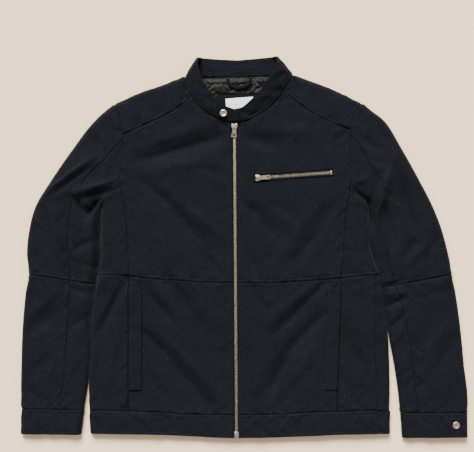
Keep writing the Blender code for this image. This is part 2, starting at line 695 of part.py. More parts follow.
def front_pieces(side, collection):
    """The yoke, the two upper panels and what lies below the waist seam, on one side."""
    k = knot_lines(side)
    hand = 1.0 if side == "right" else -1.0
    half = GAP / 2
    grid, edge = patch(
        [(k["shoulder"], "edge")], [(k["yoke"], "seam")],
        [(k["arm"][: YOKE_KNOT + 1], "seam")], [(k["neck_side"], "seam")], hand,
    )
    panel(f"yoke_{side}", grid, edge, 1, collection, parted=half)
    left_side = [(k["arm"][YOKE_KNOT : PRINCESS_KNOT + 1], "seam"), (k["princess_up"], "seam")]
    top = [(k["yoke"], "seam"), (k["neck_front"], "seam")]
    grid, edge = patch(
        top, [(k["waist_front"], "seam")], left_side, [(k["zip_up"], "free")], hand
    )
    upper, upper_way = panel(f"front_upper_{side}", grid, edge, 1, collection)
    grid, edge = patch(
        [(k["arm"][PRINCESS_KNOT:][::-1], "seam")], [(k["waist_side"], "seam")],
        [(k["side_up"], "edge")], [(k["princess_up"], "seam")], hand,
    )
    panel(f"side_upper_{side}", grid, edge, 1, collection, parted=half)
    grid, edge = patch(
        [(k["waist_front"], "seam")], [(k["seam_front"], "seam")],
        [(k["princess_low"], "seam")], [(k["zip_low"], "free")], hand,
    )
    lower, lower_way = panel(f"front_lower_{side}", grid, edge, 1, collection)
    laid_on(
        f"pocket_welt_{side}", lower[1:7, 0:2], lower_way[1:7, 0:2], GAP, WELT_WALL,
        navy_cloth(), collection,
    )
    if side == "right":
        outer, kind, first = k["side_low"], "edge", 0
        hem_outer = k["side_hem"]
    else:
        outer, kind, first = even(spline(SIDE_SEAM_LEFT), 7), "seam", 4
        outer[0], outer[-1] = k["waist_side"][4], k["seam_side"][4]
        hem_outer = np.linspace(k["seam_side"][4], k["hem_side"][4], 3)
    grid, edge = patch(
        [(k["waist_side"][first:], "seam")], [(k["seam_side"][first:], "seam")],
        [(outer, kind)], [(k["princess_low"], "seam")], hand,
    )
    panel(f"side_lower_{side}", grid, edge, 1, collection, parted=half)
    seam = np.vstack([k["seam_side"][first:-1], k["seam_front"]])
    hem = np.vstack([k["hem_side"][first:-1], k["hem_front"]])
    grid, edge = patch(
        [(seam, "seam")], [(hem, "free")], [(hem_outer, kind)], [(k["zip_hem"], "free")], hand
    )
    band, band_way = panel(f"hem_front_{side}", grid, edge, 1, collection, parted=half)
    tape_rows = [upper[:, -2:], lower[1:, -2:], band[1:, -2:]]
    tape_ways = [upper_way[:, -2:], lower_way[1:, -2:], band_way[1:, -2:]]
    zip_tape(side, np.vstack(tape_rows), np.vstack(tape_ways), collection)
    return k, outer, hem_outer


def zip_tape(side, points, normals, collection):
    """A tape under the front's edge, from its hidden selvedge to the middle of the teeth."""
    middle = points[:, -1].copy()
    middle[:, 0] = zip_x(middle[:, 1]) + SIGN[side] * GAP
    points = np.concatenate([points, middle[:, None]], axis=1)
    normals = np.concatenate([normals, normals[:, -1:]], axis=1)
    normals[:] = (0, 0, 1)
    drop = CLOTH + TAPE_DROP
    outer = points - drop * normals
    wall(f"zip_tape_{side}", outer, outer - TAPE_WALL * normals, navy_cloth(), collection)


def back_pieces(right, left, seam_left, hem_seam_left, collection):
    """The back above and below the waist seam, and the hem band behind."""
    half = GAP / 2
    neck = rolled(np.linspace(right["shoulder"][-1], left["shoulder"][-1], 30), 4, True, True)
    top = [(right["shoulder"], "edge"), (neck, "seam"), (left["shoulder"][::-1], "edge")]
    waist_line = np.linspace(right["side_low"][0], left["side_low"][0], 30)
    waist = rolled(waist_line, 14, True, True)
    grid, edge = patch(
        top, [(waist, "seam")],
        [(right["arm_under"], "seam"), (right["side_up"], "edge")],
        [(left["arm_under"], "seam"), (left["side_up"], "edge")],
    )
    panel("back_upper", grid, edge, -1, collection, parted=half)
    seam = rolled(np.linspace(right["side_hem"][0], left["side_hem"][0], 30), 14, True, True)
    hem = rolled(np.linspace(right["side_hem"][-1], left["side_hem"][-1], 30), 14, True, True)
    wrapped(
        "back_lower", (waist, "seam"), (seam, "seam"), right["side_low"], left["side_low"],
        left["waist_side"][:5], left["seam_side"][:5], seam_left, collection,
    )
    wrapped(
        "hem_back", (seam, "seam"), (hem, "free"), right["side_hem"], left["side_hem"],
        left["seam_side"][:5], left["hem_side"][:5], hem_seam_left, collection,
    )
    return neck


def wrapped(name, top, bottom, right_edge, left_edge, over_top, over_bottom, seam, collection):
    """A back piece that goes on round the wearer's left edge to a seam on the front."""
    under, under_edge = patch([top], [bottom], [(right_edge, "edge")], [(left_edge, "edge")])
    over, over_edge = patch(
        [(over_top, top[1])], [(over_bottom, bottom[1])], [(left_edge, "edge")],
        [(seam, "seam")], -1.0,
    )
    points, normals = skin(under, -1, under_edge)
    points[:, 0, 2] -= GAP / 2
    over_points, over_normals = skin(over, 1, over_edge)
    over_points, over_normals = over_points[:, 1:], over_normals[:, 1:]
    points = np.concatenate([points, over_points], axis=1)
    normals = np.concatenate([normals, over_normals], axis=1)
    wall(name, points, points - CLOTH * normals, navy_cloth(), collection)


def sleeve_stations(side):
    """Rows across the sleeve: the outer and inner ends, the bow and the long seam's share."""
    inner_line = sleeve_inner_line(side)
    upper = []
    for outer_x, outer_y, inner_y, bow, share in SLEEVE_UPPER[side]:
        place = np.argmin(np.abs(inner_line[:, 1] - inner_y))
        upper.append((np.array([outer_x, outer_y], float), inner_line[place], bow, share))
    lower = [upper[-1]]
    for outer_x, outer_y, inner_x, inner_y, share in SLEEVE_LOWER[side]:
        place = np.argmin(np.abs(inner_line[:, 1] - inner_y))
        lower.append((np.array([outer_x, outer_y], float), inner_line[place], 0.0, share))
    return upper, lower[:6], lower[5:]


def station_shares(side, width, long_seam):
    """The armhole's shares carried down the sleeve, the rolls kept to their own width."""
    top, under = arm_shares(side)
    roll0 = top[4]
    roll = min(ROLL / width, 0.2)
    known = [0, roll0, top[LONG_KNOT], 1 - roll0, 1]
    wanted = [0, roll, long_seam, 1 - roll, 1]
    return np.interp(top, known, wanted), np.interp(under, [0, roll0, 1 - roll0, 1], [0, roll, 1 - roll, 1])


def station_points(side, station, shares):
    outer, inner, bow, _ = station
    arm = spline(ARMHOLE[side])
    chord = arm[0] + np.asarray(shares)[:, None] * (arm[-1] - arm[0])
    bend = along(arm, shares) - chord
    if bow < 1.0:
        # Below the armhole nothing bows over the body near the armpit.
        bend *= (1 - smooth_step((np.asarray(shares) - 0.7) / 0.25))[:, None]
    return outer + np.asarray(shares)[:, None] * (inner - outer) + bow * bend


def sleeve_grid(side, stations, part):
    """Plan points of one sleeve piece, with the side each faces and its edge marks."""
    rows, facings, edges = [], [], []
    for station in stations:
        arc = lengths(spline(ARMHOLE[side]))[-1]
        width = station[2] * arc + (1 - station[2]) * np.linalg.norm(station[0] - station[1])
        top, under = station_shares(side, width, station[3])
        middle = len(under) // 2
        if part == "outer":
            over, below = top[: LONG_KNOT + 1][::-1], under[1 : middle + 1]
        elif part == "inner":
            over, below = top[LONG_KNOT:], under[middle:-1][::-1]
        else:
            over, below = top, under[1:-1][::-1]
        shares = np.concatenate([over, below])
        points = station_points(side, station, shares)
        if station[2] == 1.0:
            # The armhole seam: set back from the body by half the gap, in plan.
            line = spline(ARMHOLE[side])
            ways = side_normals(line, -SIGN[side])
            run = lengths(line) / lengths(line)[-1]
            back = [np.interp(shares, run, ways[:, c]) for c in range(2)]
            points = points + GAP / 2 * np.stack(back, axis=1)
        rows.append(points)
        facings.append([1] * len(over) + [-1] * len(below))
        edges.append((shares <= 1e-9) | (shares >= 1 - 1e-9))
    return np.array(rows), np.array(facings), np.array(edges)


def part_seams(points, ends=(True, True), sides=True):
    """Set a finished grid's borders back by half the gap, along its own surface."""
    moved = points.copy()
    half = GAP / 2

    def step(from_row, to_row):
        way = to_row - from_row
        return half * way / np.linalg.norm(way, axis=-1, keepdims=True)

    if ends[0]:
        moved[0] += step(points[0], points[1])
    if ends[1]:
        moved[-1] += step(points[-1], points[-2])
    if sides:
        moved[:, 0] += step(points[:, 0], points[:, 1])
        moved[:, -1] += step(points[:, -1], points[:, -2])
    return moved


def sleeve_pieces(side, collection):
    upper, lower, cuff = sleeve_stations(side)
    for length, stations in (("upper", upper), ("lower", lower)):
        for part in ("outer", "inner"):
            grid, facing, edge = sleeve_grid(side, stations, part)
            points, normals = skin(grid, facing, edge, part="sleeve")
            points = part_seams(points, ends=(length == "lower", True))
            wall(
                f"sleeve_{part}_{length}_{side}", points, points - CLOTH * normals,
                navy_cloth(), collection,
            )
    grid, facing, edge = sleeve_grid(side, cuff, "ring")
    points, normals = skin(grid, facing, edge, part="sleeve")
    points = part_seams(points, ends=(True, False), sides=False)
    wall(
        f"cuff_{side}", points, points - CLOTH * normals, navy_cloth(), collection, ring=True
    )


def unit(vectors):
    return vectors / np.linalg.norm(vectors, axis=-1, keepdims=True)


def collar_rows(places, side):
    table = np.array(COLLAR_TOP[side], float)
    spots = np.arange(len(table))
    return np.stack([np.interp(places, spots, table[:, c]) for c in range(4)], axis=1)


def collar_half(k, side):
    """Base and top knots of the front half, from the zip to the fold at the shoulder."""
    middle_x = float(zip_x(NECK_AT_ZIP)) + SIGN[side] * COLLAR_HALF_GAP
    middle = [(middle_x, COLLAR_START_Y)]
    base = np.vstack([middle, k["neck_front"][::-1], k["neck_side"][::-1][1:]])
    places = np.concatenate([[0], np.linspace(0.3, 7, len(base) - 5), COLLAR_NEAR_FOLD])
    on_fold = np.arange(len(base)) == len(base) - 1
    points, ways = skin(base, 1, on_fold)
    return points, ways, collar_rows(places, side)


def collar_ring(right, left, neck):
    """The collar's outer face as a grid, with the ways out of it, right front to left front."""
    first = collar_half(right, "right")
    last = collar_half(left, "left")
    back_points, back_ways = skin(neck[1:-1], -1)
    middle = spline(COLLAR_BACK_TOP)
    spots = along(middle, [0.25, 0.5, 0.75])
    flat = np.concatenate([spots, np.zeros((3, 1)), np.full((3, 1), -90.0)], axis=1)
    turns = [collar_rows(COLLAR_ROUND_FOLD, side) for side in ("right", "left")]
    back_rows = np.vstack([turns[0], flat, turns[1][::-1]])
    base = np.vstack([first[0], back_points, last[0][::-1]])
    base_way = np.vstack([first[1], back_ways, last[1][::-1]])
    rows = np.vstack([first[2], back_rows, last[2][::-1]])
    top = rows[:, :3]
    base[:, :2] += GAP / 2 * unit(top[:, :2] - base[:, :2])
    angle = np.radians(rows[:, 3])
    out = np.zeros((len(rows), 2))
    for side, part in (("right", slice(0, len(rows) // 2)), ("left", slice(len(rows) // 2, None))):
        fold = np.array(COLLAR_FOLD[side][-1], float) - COLLAR_FOLD[side][0]
        out[part] = SIGN[side] * unit(np.array([fold[1], -fold[0]]))
    top_way = np.concatenate([out * np.cos(angle)[:, None], np.sin(angle)[:, None]], axis=1)
    grid, ways = [], []
    for share in COLLAR_ROWS:
        way = unit((1 - share) * base_way + share * top_way)
        bulge = COLLAR_BULGE * 4 * share * (1 - share)
        lift = np.where(rows[:, 3:4] > -89, bulge, 0.0)
        grid.append(base + share * (top - base) + lift * way)
        ways.append(way)
    return np.array(grid), np.array(ways)


def collar_pieces(right, left, neck, collection):
    grid, ways = collar_ring(right, left, neck)
    wall("collar", grid, grid - COLLAR_WALL * ways, navy_cloth(), collection)
    tab(grid, ways, collection)


def tab(grid, ways, collection):
    """The fastening tab: sewn on by the zip, its round end lying over the other front."""
    base = np.vstack([grid[0, -3:], grid[0, :7]])
    top = np.vstack([grid[-1, -3:], grid[-1, :7]])
    way = np.vstack([ways[0, -3:], ways[0, :7]])
    order = np.argsort(base[:, 0])
    base, top, way = base[order], top[order], way[order]
    rows = []
    for x in TAB_LEFT + np.array(TAB_PLACES):
        reach = min(x - TAB_LEFT, TAB_ROUND)
        round_share = math.sqrt(TAB_ROUND**2 - (TAB_ROUND - reach) ** 2) / TAB_ROUND
        half = TAB_HALF * (0.35 + 0.65 * round_share)
        low = np.array([np.interp(x, base[:, 0], base[:, c]) for c in range(3)])
        high = np.array([np.interp(x, base[:, 0], top[:, c]) for c in range(3)])
        out = np.array([np.interp(x, base[:, 0], way[:, c]) for c in range(3)])
        rows.append([(low + (TAB_MIDDLE + half * s) * (high - low), out) for s in (-1, -0.4, 0.4, 1)])
    points = np.array([[spot for spot, _ in row] for row in rows])
    out = np.array([[way for _, way in row] for row in rows])
    lift = COLLAR_BULGE + GAP
    laid_on("collar_tab", points, out, lift, TAB_WALL, navy_cloth(), collection)
    at = points[4].mean(axis=0) + (lift + TAB_WALL + GAP) * out[4].mean(axis=0)
    across = points[4, 3] - points[4, 0]
    run = points[6].mean(axis=0) - points[3].mean(axis=0)
    snap("tab_snap", at, unit(np.cross(run, across)), collection)


def snap(name, at, way, collection):
    """A turned snap cap: a flat rim round a shallow dished centre."""
    profile = [(0, 0), (SNAP_RADIUS - 0.6, 0), (SNAP_RADIUS, 0.5), (SNAP_RADIUS - 0.3, 1.3),
               (SNAP_RADIUS - 1.3, 1.8), (SNAP_RADIUS - 2.4, 1.7), (SNAP_RADIUS - 3.4, 1.2),
               (0, 1.2)]
    turned(name, profile, at, way, collection)


def turned(name, profile, at, way, collection):
    mesh = bpy.data.meshes.new(name)
    points = [(radius * MM, 0, height * MM) for radius, height in profile[::-1]]
    mesh.from_pydata(points, [(i, i + 1) for i in range(len(points) - 1)], [])
    made = collect(name, mesh, nickel(), collection)
    screw = made.modifiers.new("turn", "SCREW")
    screw.steps = screw.render_steps = SNAP_STEPS
    screw.use_merge_vertices = True
    screw.merge_threshold = 0.00001
    made.location = Vector(at) * MM
    made.rotation_euler = Vector(way).to_track_quat("Z", "Y").to_euler()
    return made


def strip(name, line, half_width, low, high, surface, collection):
    """A bar along a line in plan, at heights measured from the skin over it."""
    line = np.array(line, float)
    step = np.gradient(line, axis=0)
    side = unit(np.stack([-step[:, 1], step[:, 0]], axis=1))
    plan = np.stack([line - half_width * side, line + half_width * side], axis=1)
    middle, _ = skin(line, 1)
    z = np.repeat(middle[:, None, 2:3], 2, axis=1)
    outer = np.concatenate([plan, z + high], axis=2)
    inner = np.concatenate([plan, z + low], axis=2)
    return wall(name, outer, inner, surface, collection)


def plate(name, corners, low, thick, surface, collection, rows=2, columns=2):
    """A flat piece on four corners in plan: left top, right top, right foot, left foot."""
    a, b, c, d = [np.array(corner, float) for corner in corners]
    u = np.linspace(0, 1, columns)[None, :, None]
    v = np.linspace(0, 1, rows)[:, None, None]
    plan = (1 - v) * ((1 - u) * a + u * b) + v * ((1 - u) * d + u * c)
    base = np.concatenate([plan, np.full(plan.shape[:2] + (1,), low)], axis=2)
    return wall(name, base + (0, 0, thick), base, surface, collection)


def neck_pieces(collection):
    """What shows inside the neck: lining, facing, bare label and hanger loop."""
    on_back = CLOTH + GAP
    plate("neck_lining", NECK_LINING, on_back, 1.0, lining_cloth(), collection, 2, 6)
    plate("neck_facing", NECK_FACING, on_back, 1.2, navy_cloth(), collection, 2, 4)
    plate("neck_label", NECK_LABEL, on_back + 1.2 + GAP, 0.6, label_cloth(), collection)
    base = on_back + 1.0 + GAP
    line = spline(HANGER_LOOP, 5)
    side = side_normals(line, 1.0)
    plan = np.stack([line - LOOP_HALF * side, line + LOOP_HALF * side], axis=1)
    low = np.concatenate([plan, np.full(plan.shape[:2] + (1,), base)], axis=2)
    wall("hanger_loop", low + (0, 0, 1.6), low, navy_cloth(), collection)


def block(name, low, high, collection, bevel=0.0):
    """A box between two corners, in the zip's own millimetres."""
    centre = [(a + b) / 2 * MM for a, b in zip(low, high)]
    size = [(b - a) * MM for a, b in zip(low, high)]
    mesh = bmesh.new()
    bmesh.ops.create_cube(mesh, size=1.0)
    bmesh.ops.scale(mesh, vec=size, verts=mesh.verts)
    bmesh.ops.translate(mesh, vec=centre, verts=mesh.verts)
    if bevel:
        upright = [e for e in mesh.edges if abs((e.verts[0].co - e.verts[1].co).z) > 1e-6]
        bmesh.ops.bevel(
            mesh, geom=upright, offset=bevel * MM, segments=2, profile=0.5, affect="EDGES"
        )
    data = bpy.data.meshes.new(name)
    mesh.to_mesh(data)
    mesh.free()
    return collect(name, data, nickel(), collection)


def rod(name, radius, half_length, at, collection, axis="X", sides=12):
    """A round bar centred at a place, along X or Z."""
    mesh = bmesh.new()
    bmesh.ops.create_cone(
        mesh, cap_ends=True, segments=sides, radius1=radius * MM, radius2=radius * MM,
        depth=2 * half_length * MM,
    )
    data = bpy.data.meshes.new(name)
    mesh.to_mesh(data)
    mesh.free()
    made = collect(name, data, nickel(), collection)
    if axis == "X":
        data.transform(Vector((1, 0, 0)).to_track_quat("Z", "Y").to_matrix().to_4x4())
    for vertex in data.vertices:
        vertex.co += Vector(at) * MM
    return made


def combine(base, other, operation):
    """Join or cut with a Boolean that stays on the base; the other becomes its cutter."""
    modifier = base.modifiers.new(other.name, "BOOLEAN")
    modifier.object = other
    modifier.operation = operation
    other.hide_render = True
    other.display_type = "WIRE"


def place_on_zip(made, at, turn_z, tilt=0.0):
    made.rotation_euler = (tilt, 0, turn_z)
    made.location = Vector(at) * MM


def slider(name, at, turn_z, jacket, cutters):
    """A crown over the teeth, a keel between the fronts and a strap that holds the pull."""
    body = block(name, *CROWN, jacket, SLIDER_CORNER)
    keel = block(f"{name}_keel", *KEEL, cutters)
    strap = block(f"{name}_strap", *STRAP, cutters)
    eye = rod(f"{name}_eye", EYE_RADIUS, TOOL_REACH, (0, BAR_BACK, BAR_HEIGHT), cutters)
    combine(body, keel, "UNION")
    combine(body, strap, "UNION")
    combine(body, eye, "DIFFERENCE")
    for piece in (body, keel, strap, eye):
        place_on_zip(piece, at, turn_z)
    return body


def pull(name, at, zip_turn, jacket, cutters):
    """The pull tab: its bar lies on the joint's axis, its leaf runs along the teeth."""
    shape = PULLS[name]
    bar = rod(name, BAR_RADIUS, NECK_HALF, (0, 0, 0), jacket)
    half, foot = shape["end_half"], -shape["length"]
    cut_x, cut_y = LEAF_CORNER
    right = [(NECK_HALF, BAR_RADIUS), (NECK_HALF, -NECK_LENGTH), (half, foot + cut_y), (half - cut_x, foot)]
    outline = right + [(-x, y) for x, y in right[::-1]]
    leaf = prism(f"{name}_leaf", outline, -LEAF_HALF_WALL, LEAF_HALF_WALL, cutters)
    reach = TOOL_REACH
    fork = block(f"{name}_fork", (-FORK_HALF, -NECK_LENGTH, -reach), (FORK_HALF, reach, reach), cutters)
    combine(leaf, fork, "DIFFERENCE")
    combine(bar, leaf, "UNION")
    pieces = [bar, leaf, fork]
    for index, (kind, middle, half_x, half_y) in enumerate(shape["holes"]):
        hole_name = f"{name}_hole{index}"
        if kind == "round":
            hole = rod(hole_name, half_x, reach, (0, middle, 0), cutters, "Z")
        else:
            corners = ((-half_x, middle - half_y, -reach), (half_x, middle + half_y, reach))
            hole = block(hole_name, *corners, cutters)
        combine(leaf, hole, "DIFFERENCE")
        pieces.append(hole)
    turn_z = zip_turn + math.radians(shape["lean"])
    for piece in pieces:
        place_on_zip(piece, at, turn_z, math.radians(shape["tilt"]))


def prism(name, outline, low, high, collection):
    """A flat outline in plan, raised between two heights."""
    mesh = bmesh.new()
    base = [mesh.verts.new((x * MM, y * MM, low * MM)) for x, y in outline]
    top = [mesh.verts.new((x * MM, y * MM, high * MM)) for x, y in outline]
    mesh.faces.new(base)
    mesh.faces.new(top)
    count = len(outline)
    for i in range(count):
        n = (i + 1) % count
        mesh.faces.new((base[i], base[n], top[n], top[i]))
    bmesh.ops.recalc_face_normals(mesh, faces=mesh.faces)
    data = bpy.data.meshes.new(name)
    mesh.to_mesh(data)
    mesh.free()
    return collect(name, data, nickel(), collection)


def skin_height(x, y):
    points, _ = skin(np.array([[x, y]], float), 1)
    return float(points[0, 2])


def front_zip(jacket, cutters):
    """The chain between the fronts, its slider, pull and the box at its foot."""
    foot = ZIP_TOP[1] - SLIDER_LENGTH + SLIDER_UP
    places = np.linspace(foot - GAP, BOX_TOP + GAP, 22)
    line = [(float(zip_x(y)), y) for y in places]
    strip("zip_chain", line, CHAIN_WIDTH / 2, CHAIN_LOW, CHAIN_HIGH, nickel(), jacket)
    box = [(float(zip_x(y)), y) for y in (BOX_TOP, BOX_TOP - BOX_LENGTH)]
    strip("zip_box", box, BOX_HALF, CHAIN_LOW, BOX_HIGH, nickel(), jacket)
    turn = math.atan2(ZIP_FOOT[0] - ZIP_TOP[0], ZIP_TOP[1] - ZIP_FOOT[1])
    at = (float(zip_x(foot)), foot, skin_height(float(zip_x(foot)), foot))
    slider("zip_slider", at, turn, jacket, cutters)
    pull("zip_pull", (at[0], at[1] + BAR_BACK, at[2] + BAR_HEIGHT), turn, jacket, cutters)


def chest_pocket(jacket, cutters):
    """The window cut in the front, and the zip under it."""
    start, end = (np.array(point, float) for point in CHEST_ZIP)
    way = unit(end - start)
    window = prism("chest_window", CHEST_WINDOW, *WINDOW_CUT, cutters)
    combine(bpy.data.objects["front_upper_left"], window, "DIFFERENCE")
    low = -CLOTH - TAPE_DROP
    tape = [start - 9 * way, start + 0.33 * (end - start), start + 0.66 * (end - start), end + 9 * way]
    strip("chest_tape", tape, 13.0, low - TAPE_WALL, low, navy_cloth(), jacket)
    stop = end - 2.0 * way
    chain = np.linspace(start + 12.4 * way, stop - (STOP_LENGTH + GAP) * way, 9)
    strip("chest_chain", chain, CHAIN_WIDTH / 2, CHAIN_LOW, CHAIN_HIGH, nickel(), jacket)
    stop_line = [stop - STOP_LENGTH * way, stop]
    strip("chest_stop", stop_line, STOP_HALF, CHAIN_LOW, STOP_HIGH, nickel(), jacket)
    turn = math.radians(90) + math.atan2(way[1], way[0])
    # The slider's own Y runs towards the closed end, so its foot is nearer the teeth.
    foot = start + 11.6 * way
    at = (foot[0], foot[1], skin_height(foot[0], foot[1]))
    slider("chest_slider", at, turn, jacket, cutters)
    bar = foot - BAR_BACK * way
    pull("chest_pull", (bar[0], bar[1], at[2] + BAR_HEIGHT), turn, jacket, cutters)


def build():
    for old in list(bpy.data.objects):
        bpy.data.objects.remove(old, do_unlink=True)
    jacket = bpy.data.collections.new("biker jacket")
    bpy.context.scene.collection.children.link(jacket)
    cutters = bpy.data.collections.new("cutters")
    bpy.context.scene.collection.children.link(cutters)
    knots = {}
    for side in ("right", "left"):
        knots[side], outer, hem_outer = front_pieces(side, jacket)
        if side == "left":
            seam_left, hem_seam_left = outer, hem_outer
        sleeve_pieces(side, jacket)
    neck = back_pieces(knots["right"], knots["left"], seam_left, hem_seam_left, jacket)
    collar_pieces(knots["right"], knots["left"], neck, jacket)
    neck_pieces(jacket)
    front_zip(jacket, cutters)
    chest_pocket(jacket, cutters)
    cuff_at = skin_height(*CUFF_SNAP)
    snap("cuff_snap", (*CUFF_SNAP, cuff_at + GAP), (0, 0, 1), jacket)


build()
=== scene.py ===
"""A biker jacket laid flat on its back: its cloth, seams, zips, snaps and stage.

X runs across the jacket, towards the wearer's left sleeve, Y runs up to the collar and Z up.
Tables are in millimetres, meshes in metres. "right" is the wearer's right (-X).
"""

import math

import bmesh
import bpy
import numpy as np
from bpy.props import FloatProperty, FloatVectorProperty, PointerProperty
from mathutils import Matrix, Vector


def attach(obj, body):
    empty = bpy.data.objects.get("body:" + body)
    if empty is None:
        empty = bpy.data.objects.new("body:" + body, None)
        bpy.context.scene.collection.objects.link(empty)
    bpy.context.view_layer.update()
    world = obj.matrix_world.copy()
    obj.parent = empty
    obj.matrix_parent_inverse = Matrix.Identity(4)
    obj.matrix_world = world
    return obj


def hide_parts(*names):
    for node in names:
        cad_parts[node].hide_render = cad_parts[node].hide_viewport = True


bl_info = {
    "name": "Biker Jacket",
    "version": (1, 0, 0),
    "blender": (4, 5, 0),
    "location": "3D View > Sidebar > Jacket",
    "description": "Builds a biker jacket laid flat, with its seams, zips and snaps",
    "category": "Add Mesh",
}

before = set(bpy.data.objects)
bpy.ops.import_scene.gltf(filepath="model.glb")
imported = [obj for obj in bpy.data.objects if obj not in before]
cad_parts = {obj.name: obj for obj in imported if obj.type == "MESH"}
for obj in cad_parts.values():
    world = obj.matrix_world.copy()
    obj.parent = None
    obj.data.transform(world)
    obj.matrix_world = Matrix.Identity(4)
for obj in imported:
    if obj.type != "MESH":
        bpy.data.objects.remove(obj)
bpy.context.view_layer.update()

MM = 0.001
CLOTH = 1.6  # wall of one panel, shell and lining together
COLLAR_WALL = 2.6
GAP = 0.3  # between pieces at a seam
ROLL = 9.0  # plan width of a rolled edge
ROLL_ANGLES = (0, 30, 55, 75, 90)
HEM_HEIGHT = 15.0  # of the outer skin at the hem, over the floor
CHEST_RISE = 6.0  # how much higher the chest lies, between the two heights up the front below
CHEST_FROM, CHEST_TO = -340.0, 150.0
MID_SHARE = 0.42  # of the skin's height, where an edge is widest
SLOT = -2.5  # between a sleeve and the side it lies against, negative where they overlap
ZIP_TOP = (-18.0, 230.0)
ZIP_FOOT = (-14.0, -358.0)
ZIP_HALF_GAP = 4.8  # from the zip's middle to a front's edge
TAPE_REACH = 10.0  # how far a zip tape lies under its front
TAPE_DROP = 0.5  # between a front's inner face and its tape
TAPE_WALL = 1.0
CHAIN_LOW, CHAIN_HIGH = -1.8, 0.6  # the teeth's lower and upper face, from the outer skin
POCKET_WIDTH = 24.0
WELT_WALL = 1.4
WELT_LIFT = 1.7  # a welt's inner face over the outer skin
SNAP_RADIUS = 7.0
SIGN = {"right": -1.0, "left": 1.0}

# Seams and edges in plan, each row an (x, y) point.
SHOULDER = {
    "right": [(-244, 269), (-205, 287), (-158, 304), (-111, 322)],
    "left": [(221, 271), (178, 292), (149, 304), (92, 325)],
}
COLLAR_FOLD = {
    "right": [(-111, 322), (-107, 332), (-99, 344), (-87, 357)],
    "left": [(92, 325), (84, 335), (77, 344), (62, 358)],
}
ARMHOLE = {
    "right": [(-244, 269), (-234, 242), (-228, 214), (-229, 186), (-232, 159),
              (-234, 131), (-241, 109), (-252, 93), (-270, 76)],
    "left": [(221, 271), (208, 252), (200, 229), (199, 200), (199, 170),
             (199, 141), (202, 121), (211, 97), (222, 83), (233, 75)],
}
SIDE = {
    "right": [(-270, 76), (-272, 48), (-270, 13), (-270, -12), (-275, -32), (-278, -51),
              (-283, -82), (-287, -122), (-291, -188), (-293, -238), (-292, -307), (-290, -351)],
    "left": [(233, 75), (234, 45), (238, 7), (246, -23), (255, -52), (261, -75),
             (266, -110), (270, -150), (273, -192), (275, -262), (275, -307), (275, -351)],
}
PRINCESS = {
    "right": [(-229, 98), (-223, 62), (-219, 21), (-217, -20), (-216, -54)],
    "left": [(193, 74), (189, 30), (186, -23), (182, -58)],
}
YOKE_SEAM = {
    "right": [(-192, 227), (-164, 240), (-136, 254), (-114, 269), (-99, 284)],
    "left": [(173, 230), (137, 247), (114, 261), (91, 279), (73, 292)],
}
NECK_SIDE = {
    "right": [(-111, 322), (-108, 302), (-99, 284)],
    "left": [(92, 325), (84, 309), (73, 292)],
}
NECK_FRONT = {
    "right": [(-99, 284), (-89, 270), (-74, 255), (-58, 245), (-38, 238)],
    "left": [(73, 292), (62, 275), (45, 260), (29, 249), (7, 238)],
}
WAIST_SIDE = {"right": [(-250, -52)], "left": [(221, -54)]}
WAIST_FRONT = {
    "right": [(-177, -59), (-121, -63), (-74, -66)],
    "left": [(151, -61), (105, -64), (58, -67)],
}
HEM_SEAM = {
    "right": [(-292, -307), (-217, -308), (-145, -312), (-98, -315)],
    "left": [(275, -307), (174, -309), (105, -312), (50, -315)],
}
HEM = {
    "right": [(-290, -351), (-217, -352), (-159, -353), (-51, -358)],
    "left": [(275, -351), (174, -353), (105, -356), (50, -358)],
}
SIDE_SEAM_LEFT = [(248, -53), (246, -146), (247, -216), (250, -262), (251, -307)]
HEM_SIDE_SEAM_LEFT = [(251, -307), (253, -351)]
NECK_AT_ZIP, WAIST_AT_ZIP, HEM_SEAM_AT_ZIP, HEM_AT_ZIP = 232.0, -67.0, -316.0, -359.0
POCKET_TOP, POCKET_FOOT = -75.0, -268.0

# Sleeve rows. Columns: outer x, outer y, inner y (its x is read off the inner edge), how much
# of the armhole's bow the row keeps, share of the width at which the long seam runs.
SLEEVE_UPPER = {
    "right": [
        (-244, 269, 76, 1.00, 0.340), (-262, 256, 70, 0.80, 0.360),
        (-290, 228, 58, 0.65, 0.390), (-330, 174, 43, 0.45, 0.340),
        (-366, 121, 25, 0.20, 0.390), (-393, 76, 2, 0.08, 0.490), (-405, 30, -22, 0.0, 0.550),
        (-409, -10, -45, 0.0, 0.620), (-406, -51, -70, 0.0, 0.630),
    ],
    "left": [
        (221, 271, 75, 1.00, 0.310), (240, 257, 69, 0.80, 0.345),
        (266, 236, 57, 0.70, 0.410), (299, 182, 42, 0.45, 0.420),
        (329, 128, 22, 0.20, 0.640), (354, 80, 0, 0.08, 0.760), (372, 35, -25, 0.0, 0.800),
        (384, -10, -50, 0.0, 0.820), (392, -51, -76, 0.0, 0.815),
    ],
}
# Columns: outer x, outer y, inner x, inner y, share at which the long seam runs.
SLEEVE_LOWER = {
    "right": [
        (-412, -88, -287, -104, 0.650), (-418, -158, -290, -163, 0.656),
        (-420, -220, -293, -222, 0.636), (-421, -268, -296, -269, 0.633),
        (-420, -305, -301, -306, 0.630), (-421, -329, -304, -330, 0.630),
        (-421, -352, -307, -353, 0.630),
    ],
    "left": [
        (400, -94, 267, -114, 0.754), (409, -160, 273, -168, 0.735),
        (415, -223, 283, -223, 0.733), (421, -270, 290, -270, 0.742),
        (422, -312, 294, -312, 0.727), (422, -335, 296, -336, 0.727),
        (422, -358, 298, -359, 0.727),
    ],
}
CUFF_FROM = 5  # the row of a lower sleeve, counted from the elbow seam, where the cuff starts
YOKE_SHARE = {"right": 0.29, "left": 0.26}
PRINCESS_SHARE = {"right": 0.72, "left": 0.71}

